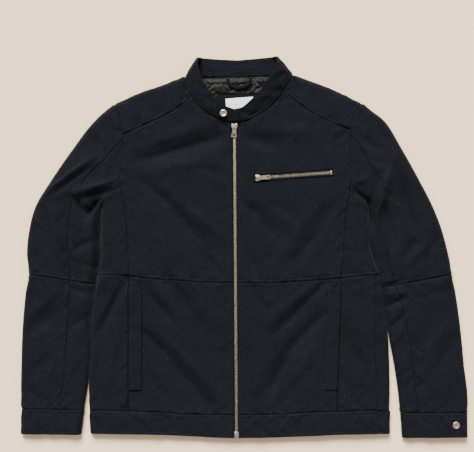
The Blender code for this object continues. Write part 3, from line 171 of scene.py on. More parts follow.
# Large folds. Columns: start x, start y, end x, end y, half width, height (a trough is negative).
FOLDS = [
    (-26, 218, -196, 168, 24, -3.0),
    (-200, 123, -68, -15, 26, -3.5),
    (3, 212, 105, 171, 20, -2.5),
    (-9, 162, 105, 30, 26, -3.0),
    (3, 94, 70, 21, 22, -2.0),
    (-182, -73, -140, -137, 18, -2.0),
    (-126, -80, -49, -192, 22, -3.0),
    (-189, -159, -63, -307, 26, -4.0),
    (-236, -75, -278, -178, 16, -3.0),
    (147, -68, 67, -169, 22, -2.5),
    (137, -136, 58, -267, 28, -4.0),
    (186, -164, 210, -223, 16, -2.0),
    (-294, 159, -367, 106, 14, 4.5),
    (-367, 98, -346, 21, 14, 4.0),
    (-346, 21, -330, -10, 12, 2.5),
    (-322, 99, -258, 116, 13, 4.0),
    (-277, 87, -297, 62, 11, -6.0),
    (-297, 62, -319, 96, 11, -4.0),
    (-340, 120, -300, 140, 14, -3.0),
    (-390, -100, -340, -190, 26, -2.5),
    (205, 121, 240, 89, 11, -3.5),
    (237, 90, 240, 62, 9, -4.0),
    (262, 128, 248, 74, 12, 4.5),
    (290, 110, 282, 30, 20, -3.0),
    (336, 60, 344, -10, 14, 2.5),
    (380, -100, 330, -210, 26, -2.5),
]
SWELLS = [
    (-322, 130, 70, 5.0),
    (292, 130, 70, 5.0),
    (-205, 250, 60, 2.0),
    (182, 250, 60, 2.0),
    (-360, 0, 70, 3.0),
    (330, -10, 70, 3.0),
]
# Creases of the shell alone, in steps of 1.88 mm from the upper left of the laid jacket.
# Columns: start x, start y, end x, end y, half width in mm on the side to the right of the way
# from start to end, half width on the other side, height in mm (a trough is negative).
STEP, STEP_X, STEP_Y = 1.88, 244.0, 247.2
CREASES = [
    # Wearer's right front, above the waist.
    (137, 149, 214, 124, 9, 14, 2.2), (138, 161, 232, 134, 13, 7, -3.2),
    (150, 172, 205, 160, 12, 10, 1.5), (137, 178, 168, 203, 7, 12, -2.6),
    (166, 200, 204, 246, 8, 14, -2.8), (176, 200, 228, 240, 12, 7, 1.8),
    (150, 200, 186, 246, 12, 8, 1.6), (196, 166, 234, 178, 10, 8, -1.6),
    (131, 215, 141, 262, 6, 9, -1.2), (200, 250, 224, 276, 9, 6, -1.6),
    # Wearer's left front, above the waist.
    (243, 137, 290, 158, 8, 12, -2.6), (252, 128, 316, 132, 14, 12, 2.0),
    (244, 200, 276, 238, 8, 11, -2.8), (247, 188, 306, 236, 12, 9, 1.8),
    (339, 196, 300, 262, 14, 9, -2.4), (322, 196, 284, 252, 12, 10, 1.8),
    (346, 170, 333, 182, 5, 7, -1.6), (350, 184, 336, 190, 5, 6, 1.1),
    (247, 254, 258, 274, 6, 8, -1.6), (312, 236, 288, 268, 9, 11, -1.8),
    # Below the waist, wearer's right.
    (142, 286, 168, 318, 6, 10, -3.6), (155, 284, 184, 322, 10, 8, 2.2),
    (174, 284, 196, 322, 9, 13, -3.2), (196, 322, 221, 386, 10, 15, -3.8),
    (142, 331, 166, 356, 6, 11, -4.2), (164, 354, 213, 413, 8, 14, -4.8),
    (172, 344, 214, 392, 12, 10, 2.6), (148, 372, 168, 404, 6, 9, -2.0),
    (126, 279, 102, 330, 9, 6, -3.4), (116, 288, 99, 322, 7, 7, 1.6),
    (104, 336, 97, 372, 6, 8, -1.2), (118, 338, 104, 398, 9, 7, 1.2),
    # Below the waist, wearer's left.
    (324, 286, 277, 332, 12, 7, -3.2), (313, 286, 268, 322, 9, 12, 1.8),
    (326, 312, 290, 350, 12, 7, -3.4), (292, 348, 268, 396, 13, 8, -3.8),
    (318, 340, 290, 392, 12, 9, 2.0), (250, 284, 268, 314, 6, 10, -2.2),
    (343, 332, 369, 380, 6, 10, -2.4), (343, 300, 356, 330, 7, 9, 1.4),
    (345, 388, 364, 411, 6, 7, -1.5), (304, 372, 276, 410, 8, 10, -1.6),
    (378, 276, 384, 322, 7, 9, -1.3),
    # Wearer's right sleeve.
    (92, 158, 47, 191, 3.5, 12, 4.4), (94, 164, 52, 195, 14, 5, -2.8),
    (47, 190, 48, 205, 5, 5, 1.6), (48, 203, 63, 243, 3.5, 9, 3.4),
    (44, 208, 57, 246, 9, 5, -1.6), (77, 192, 114, 181, 5, 4, 4.0),
    (82, 198, 112, 190, 6, 3.5, -3.8), (75, 197, 87, 216, 5, 3.5, -4.4),
    (87, 217, 100, 199, 3.5, 5, -5.0), (83, 202, 93, 208, 5, 5, 2.4),
    (101, 208, 97, 274, 9, 9, -4.2), (86, 226, 96, 262, 6, 8, 1.6),
    (104, 96, 112, 132, 7, 7, 2.2), (98, 98, 103, 134, 7, 9, -1.4),
    (84, 132, 106, 150, 10, 10, -1.6), (70, 252, 96, 238, 8, 6, -2.4),
    (74, 262, 98, 268, 7, 6, -1.4), (30, 262, 44, 250, 8, 8, -1.2),
    (28, 336, 60, 306, 12, 16, -2.6), (30, 318, 54, 292, 10, 12, 1.6),
    (32, 376, 56, 352, 12, 12, -1.6), (68, 286, 94, 296, 7, 7, -1.6),
    (66, 330, 88, 316, 7, 8, -1.6), (62, 390, 74, 404, 6, 6, -1.6),
    (30, 392, 50, 402, 6, 7, -1.2), (70, 372, 84, 352, 8, 8, 1.4),
    (100, 207, 100, 256, 11, 3, -6.0), (100, 256, 94, 292, 10, 3, -5.5),
    (92, 292, 88, 345, 8, 3, -3.0),
    # Wearer's left sleeve.
    (369, 204, 370, 244, 3, 11, -6.5), (370, 244, 380, 276, 3, 10, -6.0),
    (380, 276, 387, 322, 3, 9, -4.0),
    (352, 184, 368, 178, 4, 6, 3.0), (354, 190, 370, 203, 7, 4, -5.5),
    (367, 200, 371, 226, 5, 5, -6.0), (388, 172, 378, 214, 4, 8, 3.8),
    (373, 206, 381, 262, 8, 8, -5.4), (380, 176, 372, 200, 6, 4, -2.4),
    (396, 166, 412, 228, 7, 10, -5.4),
    (384, 206, 394, 244, 8, 8, -3.8), (400, 204, 408, 240, 6, 8, 2.8),
    (356, 106, 362, 130, 5, 7, -2.0), (372, 100, 392, 138, 10, 12, 1.6),
    (362, 138, 380, 152, 8, 8, -1.8), (408, 264, 424, 246, 6, 8, 2.2),
    (402, 260, 416, 240, 8, 8, -1.8), (424, 262, 436, 238, 8, 6, -1.6),
    (376, 288, 402, 282, 5, 5, -2.6), (379, 296, 404, 292, 5, 4, 1.6),
    (384, 308, 405, 298, 6, 5, -2.8), (388, 330, 404, 314, 6, 6, -2.4),
    (390, 344, 402, 334, 5, 6, 1.2), (434, 372, 459, 336, 10, 12, -2.4),
    (426, 356, 452, 318, 10, 10, 1.6), (412, 396, 430, 376, 7, 8, -1.2),
    (394, 372, 406, 396, 7, 7, -1.4), (414, 300, 446, 290, 8, 10, -1.2),
    # Yokes and collar side of the shoulders.
    (171, 82, 173, 104, 4, 5, -1.8), (165, 84, 166, 106, 4, 4, -1.2),
    (178, 88, 180, 102, 4, 4, 1.0), (131, 96, 152, 88, 8, 10, 1.2),
    (293, 78, 300, 96, 5, 5, -1.6), (306, 84, 316, 104, 6, 6, -1.4),
    (326, 96, 340, 112, 7, 7, 1.2),
]
COLLAR_CREASES = [
    (238, 111, 250, 116, 4, 4, -3.2), (250, 116, 259, 111, 4, 4, -3.0),
    (240, 117, 252, 120, 4, 4, 2.0), (231, 111, 239, 121, 3, 5, -2.0),
    (204, 96, 214, 106, 4, 5, -1.2), (196, 84, 206, 92, 5, 6, -1.0),
    (262, 104, 274, 92, 5, 5, -1.2), (276, 82, 286, 74, 5, 6, -1.0),
    (208, 104, 220, 112, 4, 4, 1.0),
]
# Creases of the underside, like those of the front. Columns as above.
BACK_CREASES = [
    (-120, 240, -30, 120, 10, 16, 1.2),
    (90, 250, 20, 130, 14, 9, 1.2),
    (-230, 60, -140, -20, 9, 14, 1.1),
    (200, 50, 120, -30, 12, 8, 1.1),
    (-180, -90, -90, -220, 10, 18, 1.3),
    (150, -80, 70, -230, 16, 9, 1.3),
    (-250, -120, -230, -260, 8, 12, 0.9),
    (230, -110, 215, -250, 10, 8, 0.9),
    (-40, -90, -20, -290, 9, 13, 0.8),
]

# Collar ring. Columns: top x, top y, height of its outer face, angle of that face.
COLLAR_TOP = {
    "right": [
        (-19, 259, 28, 90), (-34, 264, 29, 90), (-49, 273, 31, 90), (-59, 283, 33, 90),
        (-68, 296, 35, 90), (-77, 312, 36, 90), (-82, 326, 36, 90), (-86, 341, 35, 90),
        (-88, 350, 31, 55), (-88, 355, 25, 25), (-87, 357, 17, 0), (-85, 358, 10, -25),
        (-82, 358, 4, -55), (-76, 357, 0, -90),
    ],
    "left": [
        (-17, 259, 28, 90), (-4, 262, 29, 90), (14, 277, 31, 90), (28, 290, 33, 90),
        (38, 305, 35, 90), (48, 319, 36, 90), (55, 332, 36, 90), (60, 345, 35, 90),
        (62, 352, 31, 55), (63, 357, 25, 25), (62, 359, 17, 0), (60, 360, 10, -25),
        (57, 360, 4, -55), (51, 359, 0, -90),
    ],
}
COLLAR_BACK_TOP = [(-76, 357), (-48, 355), (-22, 353), (8, 355), (51, 359)]
COLLAR_NEAR_FOLD = [7.7, 8.5, 9.3, 10.0]
COLLAR_ROUND_FOLD = [10.9, 11.8, 12.4, 13.0]
COLLAR_START_Y = 234.5
COLLAR_HALF_GAP = 1.3
COLLAR_BULGE = 1.5

CHEST_WINDOW = [(18, 136), (166, 148), (171, 133), (18, 121)]
CHEST_ZIP = [(20, 129.5), (167, 140)]
CHEST_TAPE_HALF = 13.0
CHEST_TAPE_PAST = 9.0  # how far the tape goes on past each end of its zip

TAB_LEFT = -56.0
TAB_LENGTH = 47.0
TAB_ROUND = 8.0
TAB_MIDDLE = 0.53  # share of the collar's height
TAB_HALF = 0.43
TAB_END = 0.35  # share of its full height that the rounded end starts with
TAB_WALL = 1.8
TAB_LIFT = COLLAR_BULGE + GAP + 1.2  # over the collar's straight line from seam to edge
TAB_CREASE = (-14, 254, -8, 240, 3, 5, -0.9)
TAB_NEAR = [0.0, 0.15, 0.5, 1.0, 1.8, 3.0, 4.4, 6.0]  # rows by the tab's rounded end
TAB_SNAP_AT = 18.5  # from the tab's rounded end
TAB_SEED = 77

NECK_LINING = [(-93, 318), (75, 319), (70, 291), (-74, 238)]
NECK_FACING = [(-50, 290), (56, 294), (48, 226), (-46, 226)]
NECK_LABEL = [(-35, 280), (17, 284), (20, 250), (-32, 246)]
# Columns: name, corners, height over the back's inner face, wall, slot, height and size of its
# wrinkles, seed, what it lies on.
NECK_PLATES = [
    ("neck_lining", NECK_LINING, 0.0, 1.0, "lining", 4.6, 10, 31, "back_upper"),
    ("neck_facing", NECK_FACING, 1.1, 1.2, "navy_twill", 0.5, 20, 33, "neck_lining"),
    ("neck_label", NECK_LABEL, 3.2, 0.6, "label_cloth", 0.4, 18, 35, "neck_facing"),
]
HANGER_LOOP = [(-31, 318), (-27, 307), (-11, 301), (8, 307), (13, 318)]
LOOP_HALF = 3.0
LOOP_WALL = 1.5
LOOP_CROWN = 1.6
LOOP_LIFT = CLOTH + GAP + 1.0 + GAP + 5.5  # over the lining and its wrinkles

SLIDER_LENGTH = 10.4
SLIDER_UP = 2.0
BOX_TOP = -347.0
STOP_LENGTH = 3.0
CHEST_TEETH_FROM = 10.0  # from the chest zip's closed end to its first tooth
CHEST_TEETH_STOP = 2.8  # from its last tooth to the end, beside the stop's own length
CHEST_SLIDER_AT = 11.6  # from the chest zip's closed end to its slider's foot
CUFF_SNAP = (399.0, -335.0)
SNAP_LIFT = 0.1
# A snap's cap. Columns: distance in from its edge, height.
SNAP_PROFILE = [
    (SNAP_RADIUS, 1.15), (SNAP_RADIUS - 1.2, 1.15), (3.6, 1.2), (3.0, 1.4), (2.4, 1.68),
    (1.8, 1.8), (1.2, 1.76), (0.6, 1.5), (0.2, 1.1), (0.0, 0.6), (0.15, 0.2), (0.6, 0.0),
    (SNAP_RADIUS, 0.0),
]
# What is cut from a slider's crown, from its foot: the notch between its horns and its waist.
CROWN_CUTS = [
    [(-2.3, 11.4), (2.3, 11.4), (1.5, 8.6), (-1.5, 8.6)],
    [(3.5, -1.0), (7.0, -1.0), (7.0, 5.5), (5.8, 5.5)],
    [(-3.5, -1.0), (-5.8, 5.5), (-7.0, 5.5), (-7.0, -1.0)],
]
# Columns: node, the body it rides on, width of its rounded edges.
HARDWARE = [
    ("zip_slider", "jacket", 0.3), ("chest_slider", "jacket", 0.3), ("zip_box", "jacket", 0.4),
    ("chest_stop", "jacket", 0.4), ("zip_pull", "front_pull", 0.2), ("chest_pull", "chest_pull", 0.2),
]
# One tooth: its size along the zip, across it and up, how far it passes the middle, its rounding.
TOOTH_SIZE = (1.25, 3.3, 2.2)
TOOTH_SHIFT = 1.15
TOOTH_ROUND = 0.32

# Visual model only.
KNOT_PARTS = 4  # spans between two knots of a seam
NEAR = (0.0, 0.5, 1.2, 2.1, 3.2, 4.4, 5.4, 6.3, 7.4, 9.2)  # columns by a border or a fold
SPACING = {"front": 2.7, "back": 6.0, "sleeve": 2.5}  # and elsewhere
SNAP_TO_EDGE = 0.25  # a point nearer to an edge than this lies on it
LAP = 6.0  # from a seam to its topstitching
EDGE_STITCH = 4.4  # from a hem, cuff or collar edge to its topstitching
WINDOW_LAP = 1.3  # from the chest window to its topstitching
ZIP_STITCH = 7.5
STITCH_LIFT = 0.12
TAPE_RAISE = 1.4  # how far the chest tape stands up in its window

# Where no fold runs: half width and height round the chest window, half width by the front zip,
# and over what distance the folds come back.
WINDOW_CLEAR, WINDOW_FADE = (100, 42), 24
ZIP_CLEAR, ZIP_FADE = 4, 26
# Soft unevenness. Columns: height, size of a bump, seed, slant.
SOFT = [(0.9, 34, 3, 0.6), (0.5, 16, 5, 0.6), (0.22, 8.5, 7, 0.0)]
HEM_RIPPLE = (1.5, 10, 11)  # height, size, seed
WAIST_RIPPLE = (1.5, 8, 13)
# Puckers by a seam. Columns: height, size, reach from the seam, slant, stretch.
PUCKERS = [(1.5, 6.0, 8.0, 0.8, 0.2), (1.2, 13, 24.0, -0.9, 0.1)]
PUCKER_START = 6.0  # from the seam to where they are full

# The stage, in metres.
KEY_FROM = (-0.2, 0.9, 0.78)
KEY_SPREAD = 30.0
SKY = 0.7
SKY_COLOUR = (0.97, 0.97, 1.0, 1.0)
FLOOR_HALF = 4
FLOOR_GAP = 0.0003  # so that no two faces share one plane
SENSOR = 36.0
PHOTO_WIDTH, PHOTO_LEVEL = 0.891, 0.015  # what the photograph spans, at this height
CAMERA_AT = (-0.0132, 0.0399)


def smooth_step(value):
    value = np.clip(value, 0.0, 1.0)
    return value * value * (3.0 - 2.0 * value)


def unit(vectors):
    return vectors / np.maximum(np.linalg.norm(vectors, axis=-1, keepdims=True), 1e-9)


def spline(points, per_span=16):
    """A dense smooth line through a few points."""
    points = np.array(points, float)
    if len(points) < 3:
        share = np.linspace(0, 1, per_span + 1)[:, None]
        return points[0] * (1 - share) + points[-1] * share
    padded = np.vstack([2 * points[0] - points[1], points, 2 * points[-1] - points[-2]])
    knots = np.concatenate([[0], np.cumsum(np.linalg.norm(np.diff(padded, axis=0), axis=1) ** 0.5)])
    line = []
    for i in range(1, len(padded) - 2):
        t0, t1, t2, t3 = knots[i - 1 : i + 3]
        p0, p1, p2, p3 = padded[i - 1 : i + 3]
        for t in np.linspace(t1, t2, per_span, endpoint=False):
            a1 = p0 * (t1 - t) / (t1 - t0) + p1 * (t - t0) / (t1 - t0)
            a2 = p1 * (t2 - t) / (t2 - t1) + p2 * (t - t1) / (t2 - t1)
            a3 = p2 * (t3 - t) / (t3 - t2) + p3 * (t - t2) / (t3 - t2)
            b1 = a1 * (t2 - t) / (t2 - t0) + a2 * (t - t0) / (t2 - t0)
            b2 = a2 * (t3 - t) / (t3 - t1) + a3 * (t - t1) / (t3 - t1)
            line.append(b1 * (t2 - t) / (t2 - t1) + b2 * (t - t1) / (t2 - t1))
    line.append(points[-1])
    return np.array(line)


def lengths(line):
    return np.concatenate([[0], np.cumsum(np.linalg.norm(np.diff(line, axis=0), axis=1))])


def run_across(grid):
    """How far each point of a grid lies along its row."""
    steps = np.linalg.norm(np.diff(grid, axis=1), axis=2)
    return np.concatenate([np.zeros((len(grid), 1)), np.cumsum(steps, axis=1)], axis=1)


def run_down(grid):
    return run_across(grid.swapaxes(0, 1)).T


def along(line, shares):
    """Points at shares of a line's length."""
    run = lengths(line)
    places = np.asarray(shares, float) * run[-1]
    return np.stack([np.interp(places, run, line[:, k]) for k in range(line.shape[1])], axis=-1)


def fine(values, parts=KNOT_PARTS):
    """The values with each span divided into parts."""
    values = np.asarray(values, float)
    spots = np.arange((len(values) - 1) * parts + 1) / parts
    if values.ndim == 1:
        return np.interp(spots, np.arange(len(values)), values)
    return np.stack([np.interp(spots, np.arange(len(values)), column) for column in values.T], axis=-1)


def even(line, segments):
    return along(line, np.linspace(0, 1, segments * KNOT_PARTS + 1))


def roll_places(width, angles=ROLL_ANGLES):
    return [width * (1 - math.cos(math.radians(angle))) for angle in angles]


def rolled(line, segments, at_start=False, at_end=False):
    """Knots along a line, close together where it starts or ends on a rolled edge."""
    total = lengths(line)[-1]
    roll = [place / total for place in roll_places(ROLL)]
    start = roll if at_start else [0.0]
    end = [1 - share for share in reversed(roll)] if at_end else [1.0]
    between = np.linspace(start[-1], end[0], segments + 1)[1:-1]
    return along(line, fine(list(start) + list(between) + list(end)))


def zip_x(y):
    share = (ZIP_TOP[1] - np.asarray(y, float)) / (ZIP_TOP[1] - ZIP_FOOT[1])
    return ZIP_TOP[0] + share * (ZIP_FOOT[0] - ZIP_TOP[0])


def front_edge(side, y):
    return (float(zip_x(y)) + SIGN[side] * ZIP_HALF_GAP, y)


def sleeve_inner_line(side):
    """The sleeve's inner edge: along the body's side, then off on its own to the cuff."""
    body = spline(SIDE[side])
    upto = SLEEVE_LOWER[side][2][3] if side == "right" else SLEEVE_LOWER[side][0][3]
    beside = body[body[:, 1] > upto].copy()
    beside[:, 0] += SIGN[side] * np.minimum(SLOT, 0.5 + 0.1 * (beside[0, 1] - beside[:, 1]))
    rest = [(row[2], row[3]) for row in SLEEVE_LOWER[side] if row[3] < upto]
    return np.vstack([beside[:-1], spline([beside[-1]] + rest)])


def silhouettes():
    """The lines that bound the body and the sleeves, each with the hand its outside is on."""
    lines = {"body": [], "sleeve": []}
    for side in ("right", "left"):
        outer = [(row[0], row[1]) for row in SLEEVE_UPPER[side]]
        outer += [(row[0], row[1]) for row in SLEEVE_LOWER[side]]
        fold = spline(COLLAR_FOLD[side])[::-1]
        shoulder = spline(SHOULDER[side])[::-1]
        outer_line = np.vstack([fold[:-1], shoulder[:-1], spline(outer)])
        hand = SIGN[side]
        lines["body"] += [(outer_line, hand), (spline(SIDE[side]), hand)]
        lines["sleeve"] += [(outer_line, hand), (sleeve_inner_line(side), -hand)]
    return lines


SILHOUETTES = silhouettes()


def edge_field(plan, part):
    """For each plan point: its distance from the nearest silhouette and the way out there."""
    flat = plan.reshape(-1, 2)
    best = np.full(len(flat), 1e9)
    out = np.zeros((len(flat), 2))
    for line, hand in SILHOUETTES[part]:
        # A body's point lies nearest to its own half's lines, but for a strip by the middle.
        near = np.arange(len(flat)) if part == "sleeve" else np.flatnonzero(flat[:, 0] * hand > -60)
        start, end = line[:-1], line[1:]
        step = end - start
        size = np.einsum("ij,ij->i", step, step)
        tangent = unit(np.gradient(line, axis=0))
        turned_out = hand * np.stack([-tangent[:, 1], tangent[:, 0]], axis=1)
        for chunk in np.array_split(near, max(1, len(near) // 3000)):
            spot = flat[chunk]
            share = np.einsum("pij,ij->pi", spot[:, None] - start[None], step) / size
            foot = start[None] + np.clip(share, 0, 1)[..., None] * step[None]
            away = foot - spot[:, None]
            reach = np.linalg.norm(away, axis=2)
            pick = np.argmin(reach, axis=1)
            rows = np.arange(len(chunk))
            distance = reach[rows, pick]
            place = np.clip(share[rows, pick], 0, 1)[:, None]
            normal = (1 - place) * turned_out[pick] + place * turned_out[pick + 1]
            toward = away[rows, pick] / np.maximum(distance, 1e-6)[:, None]
            way = np.where((distance < 0.6)[:, None], normal, toward)
            closer = distance < best[chunk]
            best[chunk] = np.where(closer, distance, best[chunk])
            out[chunk] = np.where(closer[:, None], way, out[chunk])
    return best.reshape(plan.shape[:-1]), out.reshape(plan.shape)


def base_height(plan):
    x, y = plan[..., 0], plan[..., 1]
    height = HEM_HEIGHT + CHEST_RISE * smooth_step((y - CHEST_FROM) / (CHEST_TO - CHEST_FROM))
    for cx, cy, radius, rise in SWELLS:
        height = height + rise * np.exp(-((x - cx) ** 2 + (y - cy) ** 2) / radius**2)
    return height


def window_mask(plan):
    """Nothing at the chest zip and the front zip, one away from them: no fold crosses them."""
    x, y = plan[..., 0], plan[..., 1]
    middle = np.mean(CHEST_WINDOW, axis=0)
    far_x = np.maximum(np.abs(x - middle[0]) - WINDOW_CLEAR[0], 0)
    far_y = np.maximum(np.abs(y - middle[1]) - WINDOW_CLEAR[1], 0)
    chest = smooth_step(np.hypot(far_x, far_y) / WINDOW_FADE)
    zip_line = smooth_step((np.abs(x - zip_x(y)) - ZIP_CLEAR) / ZIP_FADE)
    return chest * zip_line


def window_distance(plan):
    """Distance outside the chest window, negative inside it."""
    corners = np.array(CHEST_WINDOW, float)
    best = np.full(plan.shape[:-1], -1e9)
    for start, end in zip(corners, np.roll(corners, -1, axis=0)):
        way = unit(end - start)
        outward = np.array([-way[1], way[0]])
        best = np.maximum(best, (plan - start) @ outward)
    return best


def on_stroke(plan, x0, y0, x1, y1):
    """Distance from a stroke, the share along it, and on which side of it a point lies."""
    start, end = np.array([x0, y0], float), np.array([x1, y1], float)
    step = end - start
    share = np.clip(((plan - start) @ step) / (step @ step), 0, 1)
    away = plan - (start + share[..., None] * step)
    hand = away[..., 0] * step[1] - away[..., 1] * step[0]
    return np.linalg.norm(away, axis=-1), share, hand


def fold_height(plan):
    total = np.zeros(plan.shape[:-1])
    for x0, y0, x1, y1, width, rise in FOLDS:
        reach, share, _ = on_stroke(plan, x0, y0, x1, y1)
        swell = 0.55 + 0.45 * np.sin(math.pi * share)
        total = total + rise * swell * np.exp(-((reach / width) ** 2))
    return total * window_mask(plan)


def crease_height(plan, table):
    """Creases, each steeper on one side than on the other and fading to its ends."""
    total = np.zeros(plan.shape[:-1])
    for x0, y0, x1, y1, right, left, rise in table:
        reach, share, hand = on_stroke(plan, x0, y0, x1, y1)
        width = left + (right - left) * smooth_step(0.5 + hand / (np.abs(hand) + 1e-6) * 0.5)
        swell = np.sin(math.pi * np.clip(0.08 + 0.84 * share, 0, 1)) ** 0.7
        total = total + rise * swell * np.exp(-((reach / width) ** 2))
    return total


def ripple(across, down, size, seed):
    """Smooth random heights from -1 to 1 over a plane, its bumps about one size wide."""
    table = np.random.default_rng(seed).uniform(-1, 1, (67, 71))
    across, down = np.asarray(across, float) / size + 500, np.asarray(down, float) / size + 500
    ix, iy = np.floor(across).astype(int), np.floor(down).astype(int)
    fx, fy = smooth_step(across - ix), smooth_step(down - iy)
    corner = [table[(ix + a) % 67, (iy + b) % 71] for a in (0, 1) for b in (0, 1)]
    low = corner[0] * (1 - fy) + corner[1] * fy
    high = corner[2] * (1 - fy) + corner[3] * fy
    return low * (1 - fx) + high * fx


def in_steps(table):
    """A table given in steps, in millimetres."""
    return [
        ((x0 - STEP_X) * STEP, (STEP_Y - y0) * STEP, (x1 - STEP_X) * STEP, (STEP_Y - y1) * STEP, *rest)
        for x0, y0, x1, y1, *rest in table
    ]


def unevenness(plan, facing):
    """The shell's own creases and its soft unevenness, in millimetres above the folds."""
    style = bpy.context.scene.jacket_cloth
    x, y = plan[..., 0], plan[..., 1]
    soft = sum(
        height * ripple(x + slant * y, y - slant * x, size, seed) for height, size, seed, slant in SOFT
    )
    by_hem = smooth_step((HEM_SEAM_AT_ZIP + 14 - y) / 12)
    by_waist = np.exp(-(((y - WAIST_AT_ZIP - 4) / 16) ** 2))
    soft = soft + HEM_RIPPLE[0] * by_hem * ripple(x + 0.7 * y, 0.35 * y, *HEM_RIPPLE[1:])
    soft = soft + WAIST_RIPPLE[0] * by_waist * ripple(x, 0.25 * y, *WAIST_RIPPLE[1:])
    # The groove of the stitches round the chest window.
    soft = soft - 0.8 * np.exp(-(((window_distance(plan) - WINDOW_LAP) / 1.8) ** 2))
    creased = crease_height(plan, in_steps(CREASES))
    mask = 0.3 + 0.7 * window_mask(plan)
    top = (creased * style.crease + soft * style.unevenness) * mask
    below = crease_height(plan, BACK_CREASES) * style.crease
    below = below + np.maximum(soft, -0.2) * 0.5 * style.unevenness
    return np.where(facing > 0, top, np.maximum(below, 0.0))


def skin(plan, facing, parted=0.0, part="body"):
    """Points of the outer skin and the ways out of it; facing is 1 for the top, -1 below."""
    plan = np.asarray(plan, float)
    distance, out = edge_field(plan, part)
    share = np.clip(distance / ROLL, 0, 1)
    share = np.where(distance < SNAP_TO_EDGE, 0.0, share)
    lean = 1 - share
    rise = np.sqrt(np.maximum(0, 1 - lean**2))
    facing = np.broadcast_to(facing, rise.shape)
    base = base_height(plan)
    middle = MID_SHARE * base
    extra = unevenness(plan, facing)
    high = base + fold_height(plan) + extra
    top = middle + (high - middle) * rise + parted * (1 - rise)
    under = middle * (1 - rise) - parted * (1 - rise) + extra * rise
    z = np.where(facing > 0, top, under)
    points = np.concatenate([plan, z[..., None]], axis=-1)
    normals = np.concatenate([out * lean[..., None], (facing * rise)[..., None]], axis=-1)
    return points, unit(normals)


def side_normals(points, hand):
    step = unit(np.gradient(points, axis=0))
    return hand * np.stack([step[:, 1], -step[:, 0]], axis=1)


def border(pieces, hand):
    """Join the pieces of one side. A seam is set back by half the gap, an edge stays."""
    points, shift, breaks = None, None, []
    for line, kind in pieces:
        line = np.array(line, float)
        move = side_normals(line, hand) * GAP / 2 if kind == "seam" else np.zeros_like(line)
        if points is None:
            points, shift = line, move
        else:
            breaks.append(len(points) - 1)
            shift[-1] = move[0] if kind == "seam" else shift[-1]
            points = np.vstack([points, line[1:]])
            shift = np.vstack([shift, move[1:]])
    return points, shift, breaks


def patch(top, bottom, outer, inner, hand=1.0):
    """A plan grid filling four sides, and where its sides break, across and down."""
    sides = [border(top, hand), border(bottom, -hand), border(outer, -hand), border(inner, hand)]
    (t, t_move, t_break), (b, b_move, b_break), (o, o_move, o_break), (i, i_move, i_break) = sides
    columns, rows = len(t), len(o)
    if len(b) != columns or len(i) != rows:
        raise ValueError("opposite sides of a patch need the same number of knots")
    t, b, o, i = t + t_move, b + b_move, o + o_move, i + i_move
    o[0], t[0] = [t[0] + o_move[0]] * 2
    i[0], t[-1] = [t[-1] + i_move[0]] * 2
    o[-1], b[0] = [b[0] + o_move[-1]] * 2
    i[-1], b[-1] = [b[-1] + i_move[-1]] * 2
    share_t, share_b = lengths(t) / lengths(t)[-1], lengths(b) / lengths(b)[-1]
    share_o, share_i = lengths(o) / lengths(o)[-1], lengths(i) / lengths(i)[-1]
    u = np.tile(share_t, (rows, 1))
    for _ in range(4):
        v = (1 - u) * share_o[:, None] + u * share_i[:, None]
        u = (1 - v) * share_t[None] + v * share_b[None]
    u, v = u[..., None], v[..., None]
    grid = (1 - v) * t[None] + v * b[None] + (1 - u) * o[:, None] + u * i[:, None]
    grid -= (1 - u) * (1 - v) * t[0] + u * (1 - v) * t[-1] + (1 - u) * v * b[0] + u * v * b[-1]
    return grid, sorted(set(t_break + b_break)), sorted(set(o_break + i_break))


def spread(grid, breaks=(), close=(), spacing=SPACING["front"]):
    """A grid's columns set anew, close together by its sides and by the breaks in close.

    The breaks keep a column of their own. Returns the grid and the breaks' new columns.
    """
    run = run_across(grid)
    last = grid.shape[1] - 1
    stops = [0, *breaks, last]
    near = {0, last, *close}
    places, kept = [], []
    for first, second in zip(stops[:-1], stops[1:]):
        start, size = run[:, first], run[:, second] - run[:, first]
        lead = NEAR if first in near else NEAR[:1]
        tail = NEAR if second in near else NEAR[:1]
        reach = lead[-1] + tail[-1]
        scale = np.minimum(1.0, 0.8 * size / max(reach, 1e-6))
        spans = max(1, round(float(np.mean(size - reach * scale)) / spacing))
        places += [start + d * scale for d in lead]
        inner_start, inner = start + lead[-1] * scale, size - reach * scale
        places += [inner_start + inner * k / spans for k in range(1, spans)]
        places += [start + size - d * scale for d in reversed(tail)]
        places.pop()
        kept.append(len(places))
    places.append(run[:, last])
    places = np.stack(places, axis=1)
    rows = []
    for row in range(len(grid)):
        spots = [np.interp(places[row], run[row], grid[row, :, c]) for c in range(grid.shape[2])]
        rows.append(np.stack(spots, axis=-1))
    return np.array(rows), kept[:-1]


def spread_both(grid, across=(), down=(), close=(), spacing=SPACING["front"]):
    grid, across = spread(grid, across, close, spacing)
    turned, down = spread(grid.swapaxes(0, 1), down, (), spacing)
    return turned.swapaxes(0, 1), across, down


# Knots shared by neighbours.


def arm_shares(side):
    """Shares along the armhole, from the shoulder to the armpit, that its neighbours share."""
    total = lengths(spline(ARMHOLE[side]))[-1]
    roll = [place / total for place in roll_places(ROLL)]
    yoke, princess = YOKE_SHARE[side], PRINCESS_SHARE[side]
    long_seam = SLEEVE_UPPER[side][0][4]
    top = list(roll)
    top += list(np.linspace(roll[-1], yoke, 4)[1:])
    top += [long_seam]
    top += list(np.linspace(long_seam, princess, 5)[1:])
    top += list(np.linspace(princess, 1 - roll[-1], 5)[1:])
    top += [1 - share for share in reversed(roll[:-1])]
    under = list(roll) + [0.5] + [1 - share for share in reversed(roll)]
    return fine(top), fine(under)


YOKE_KNOT, LONG_KNOT, PRINCESS_KNOT = (k * KNOT_PARTS for k in (7, 8, 12))
ROLL_KNOT = 4 * KNOT_PARTS


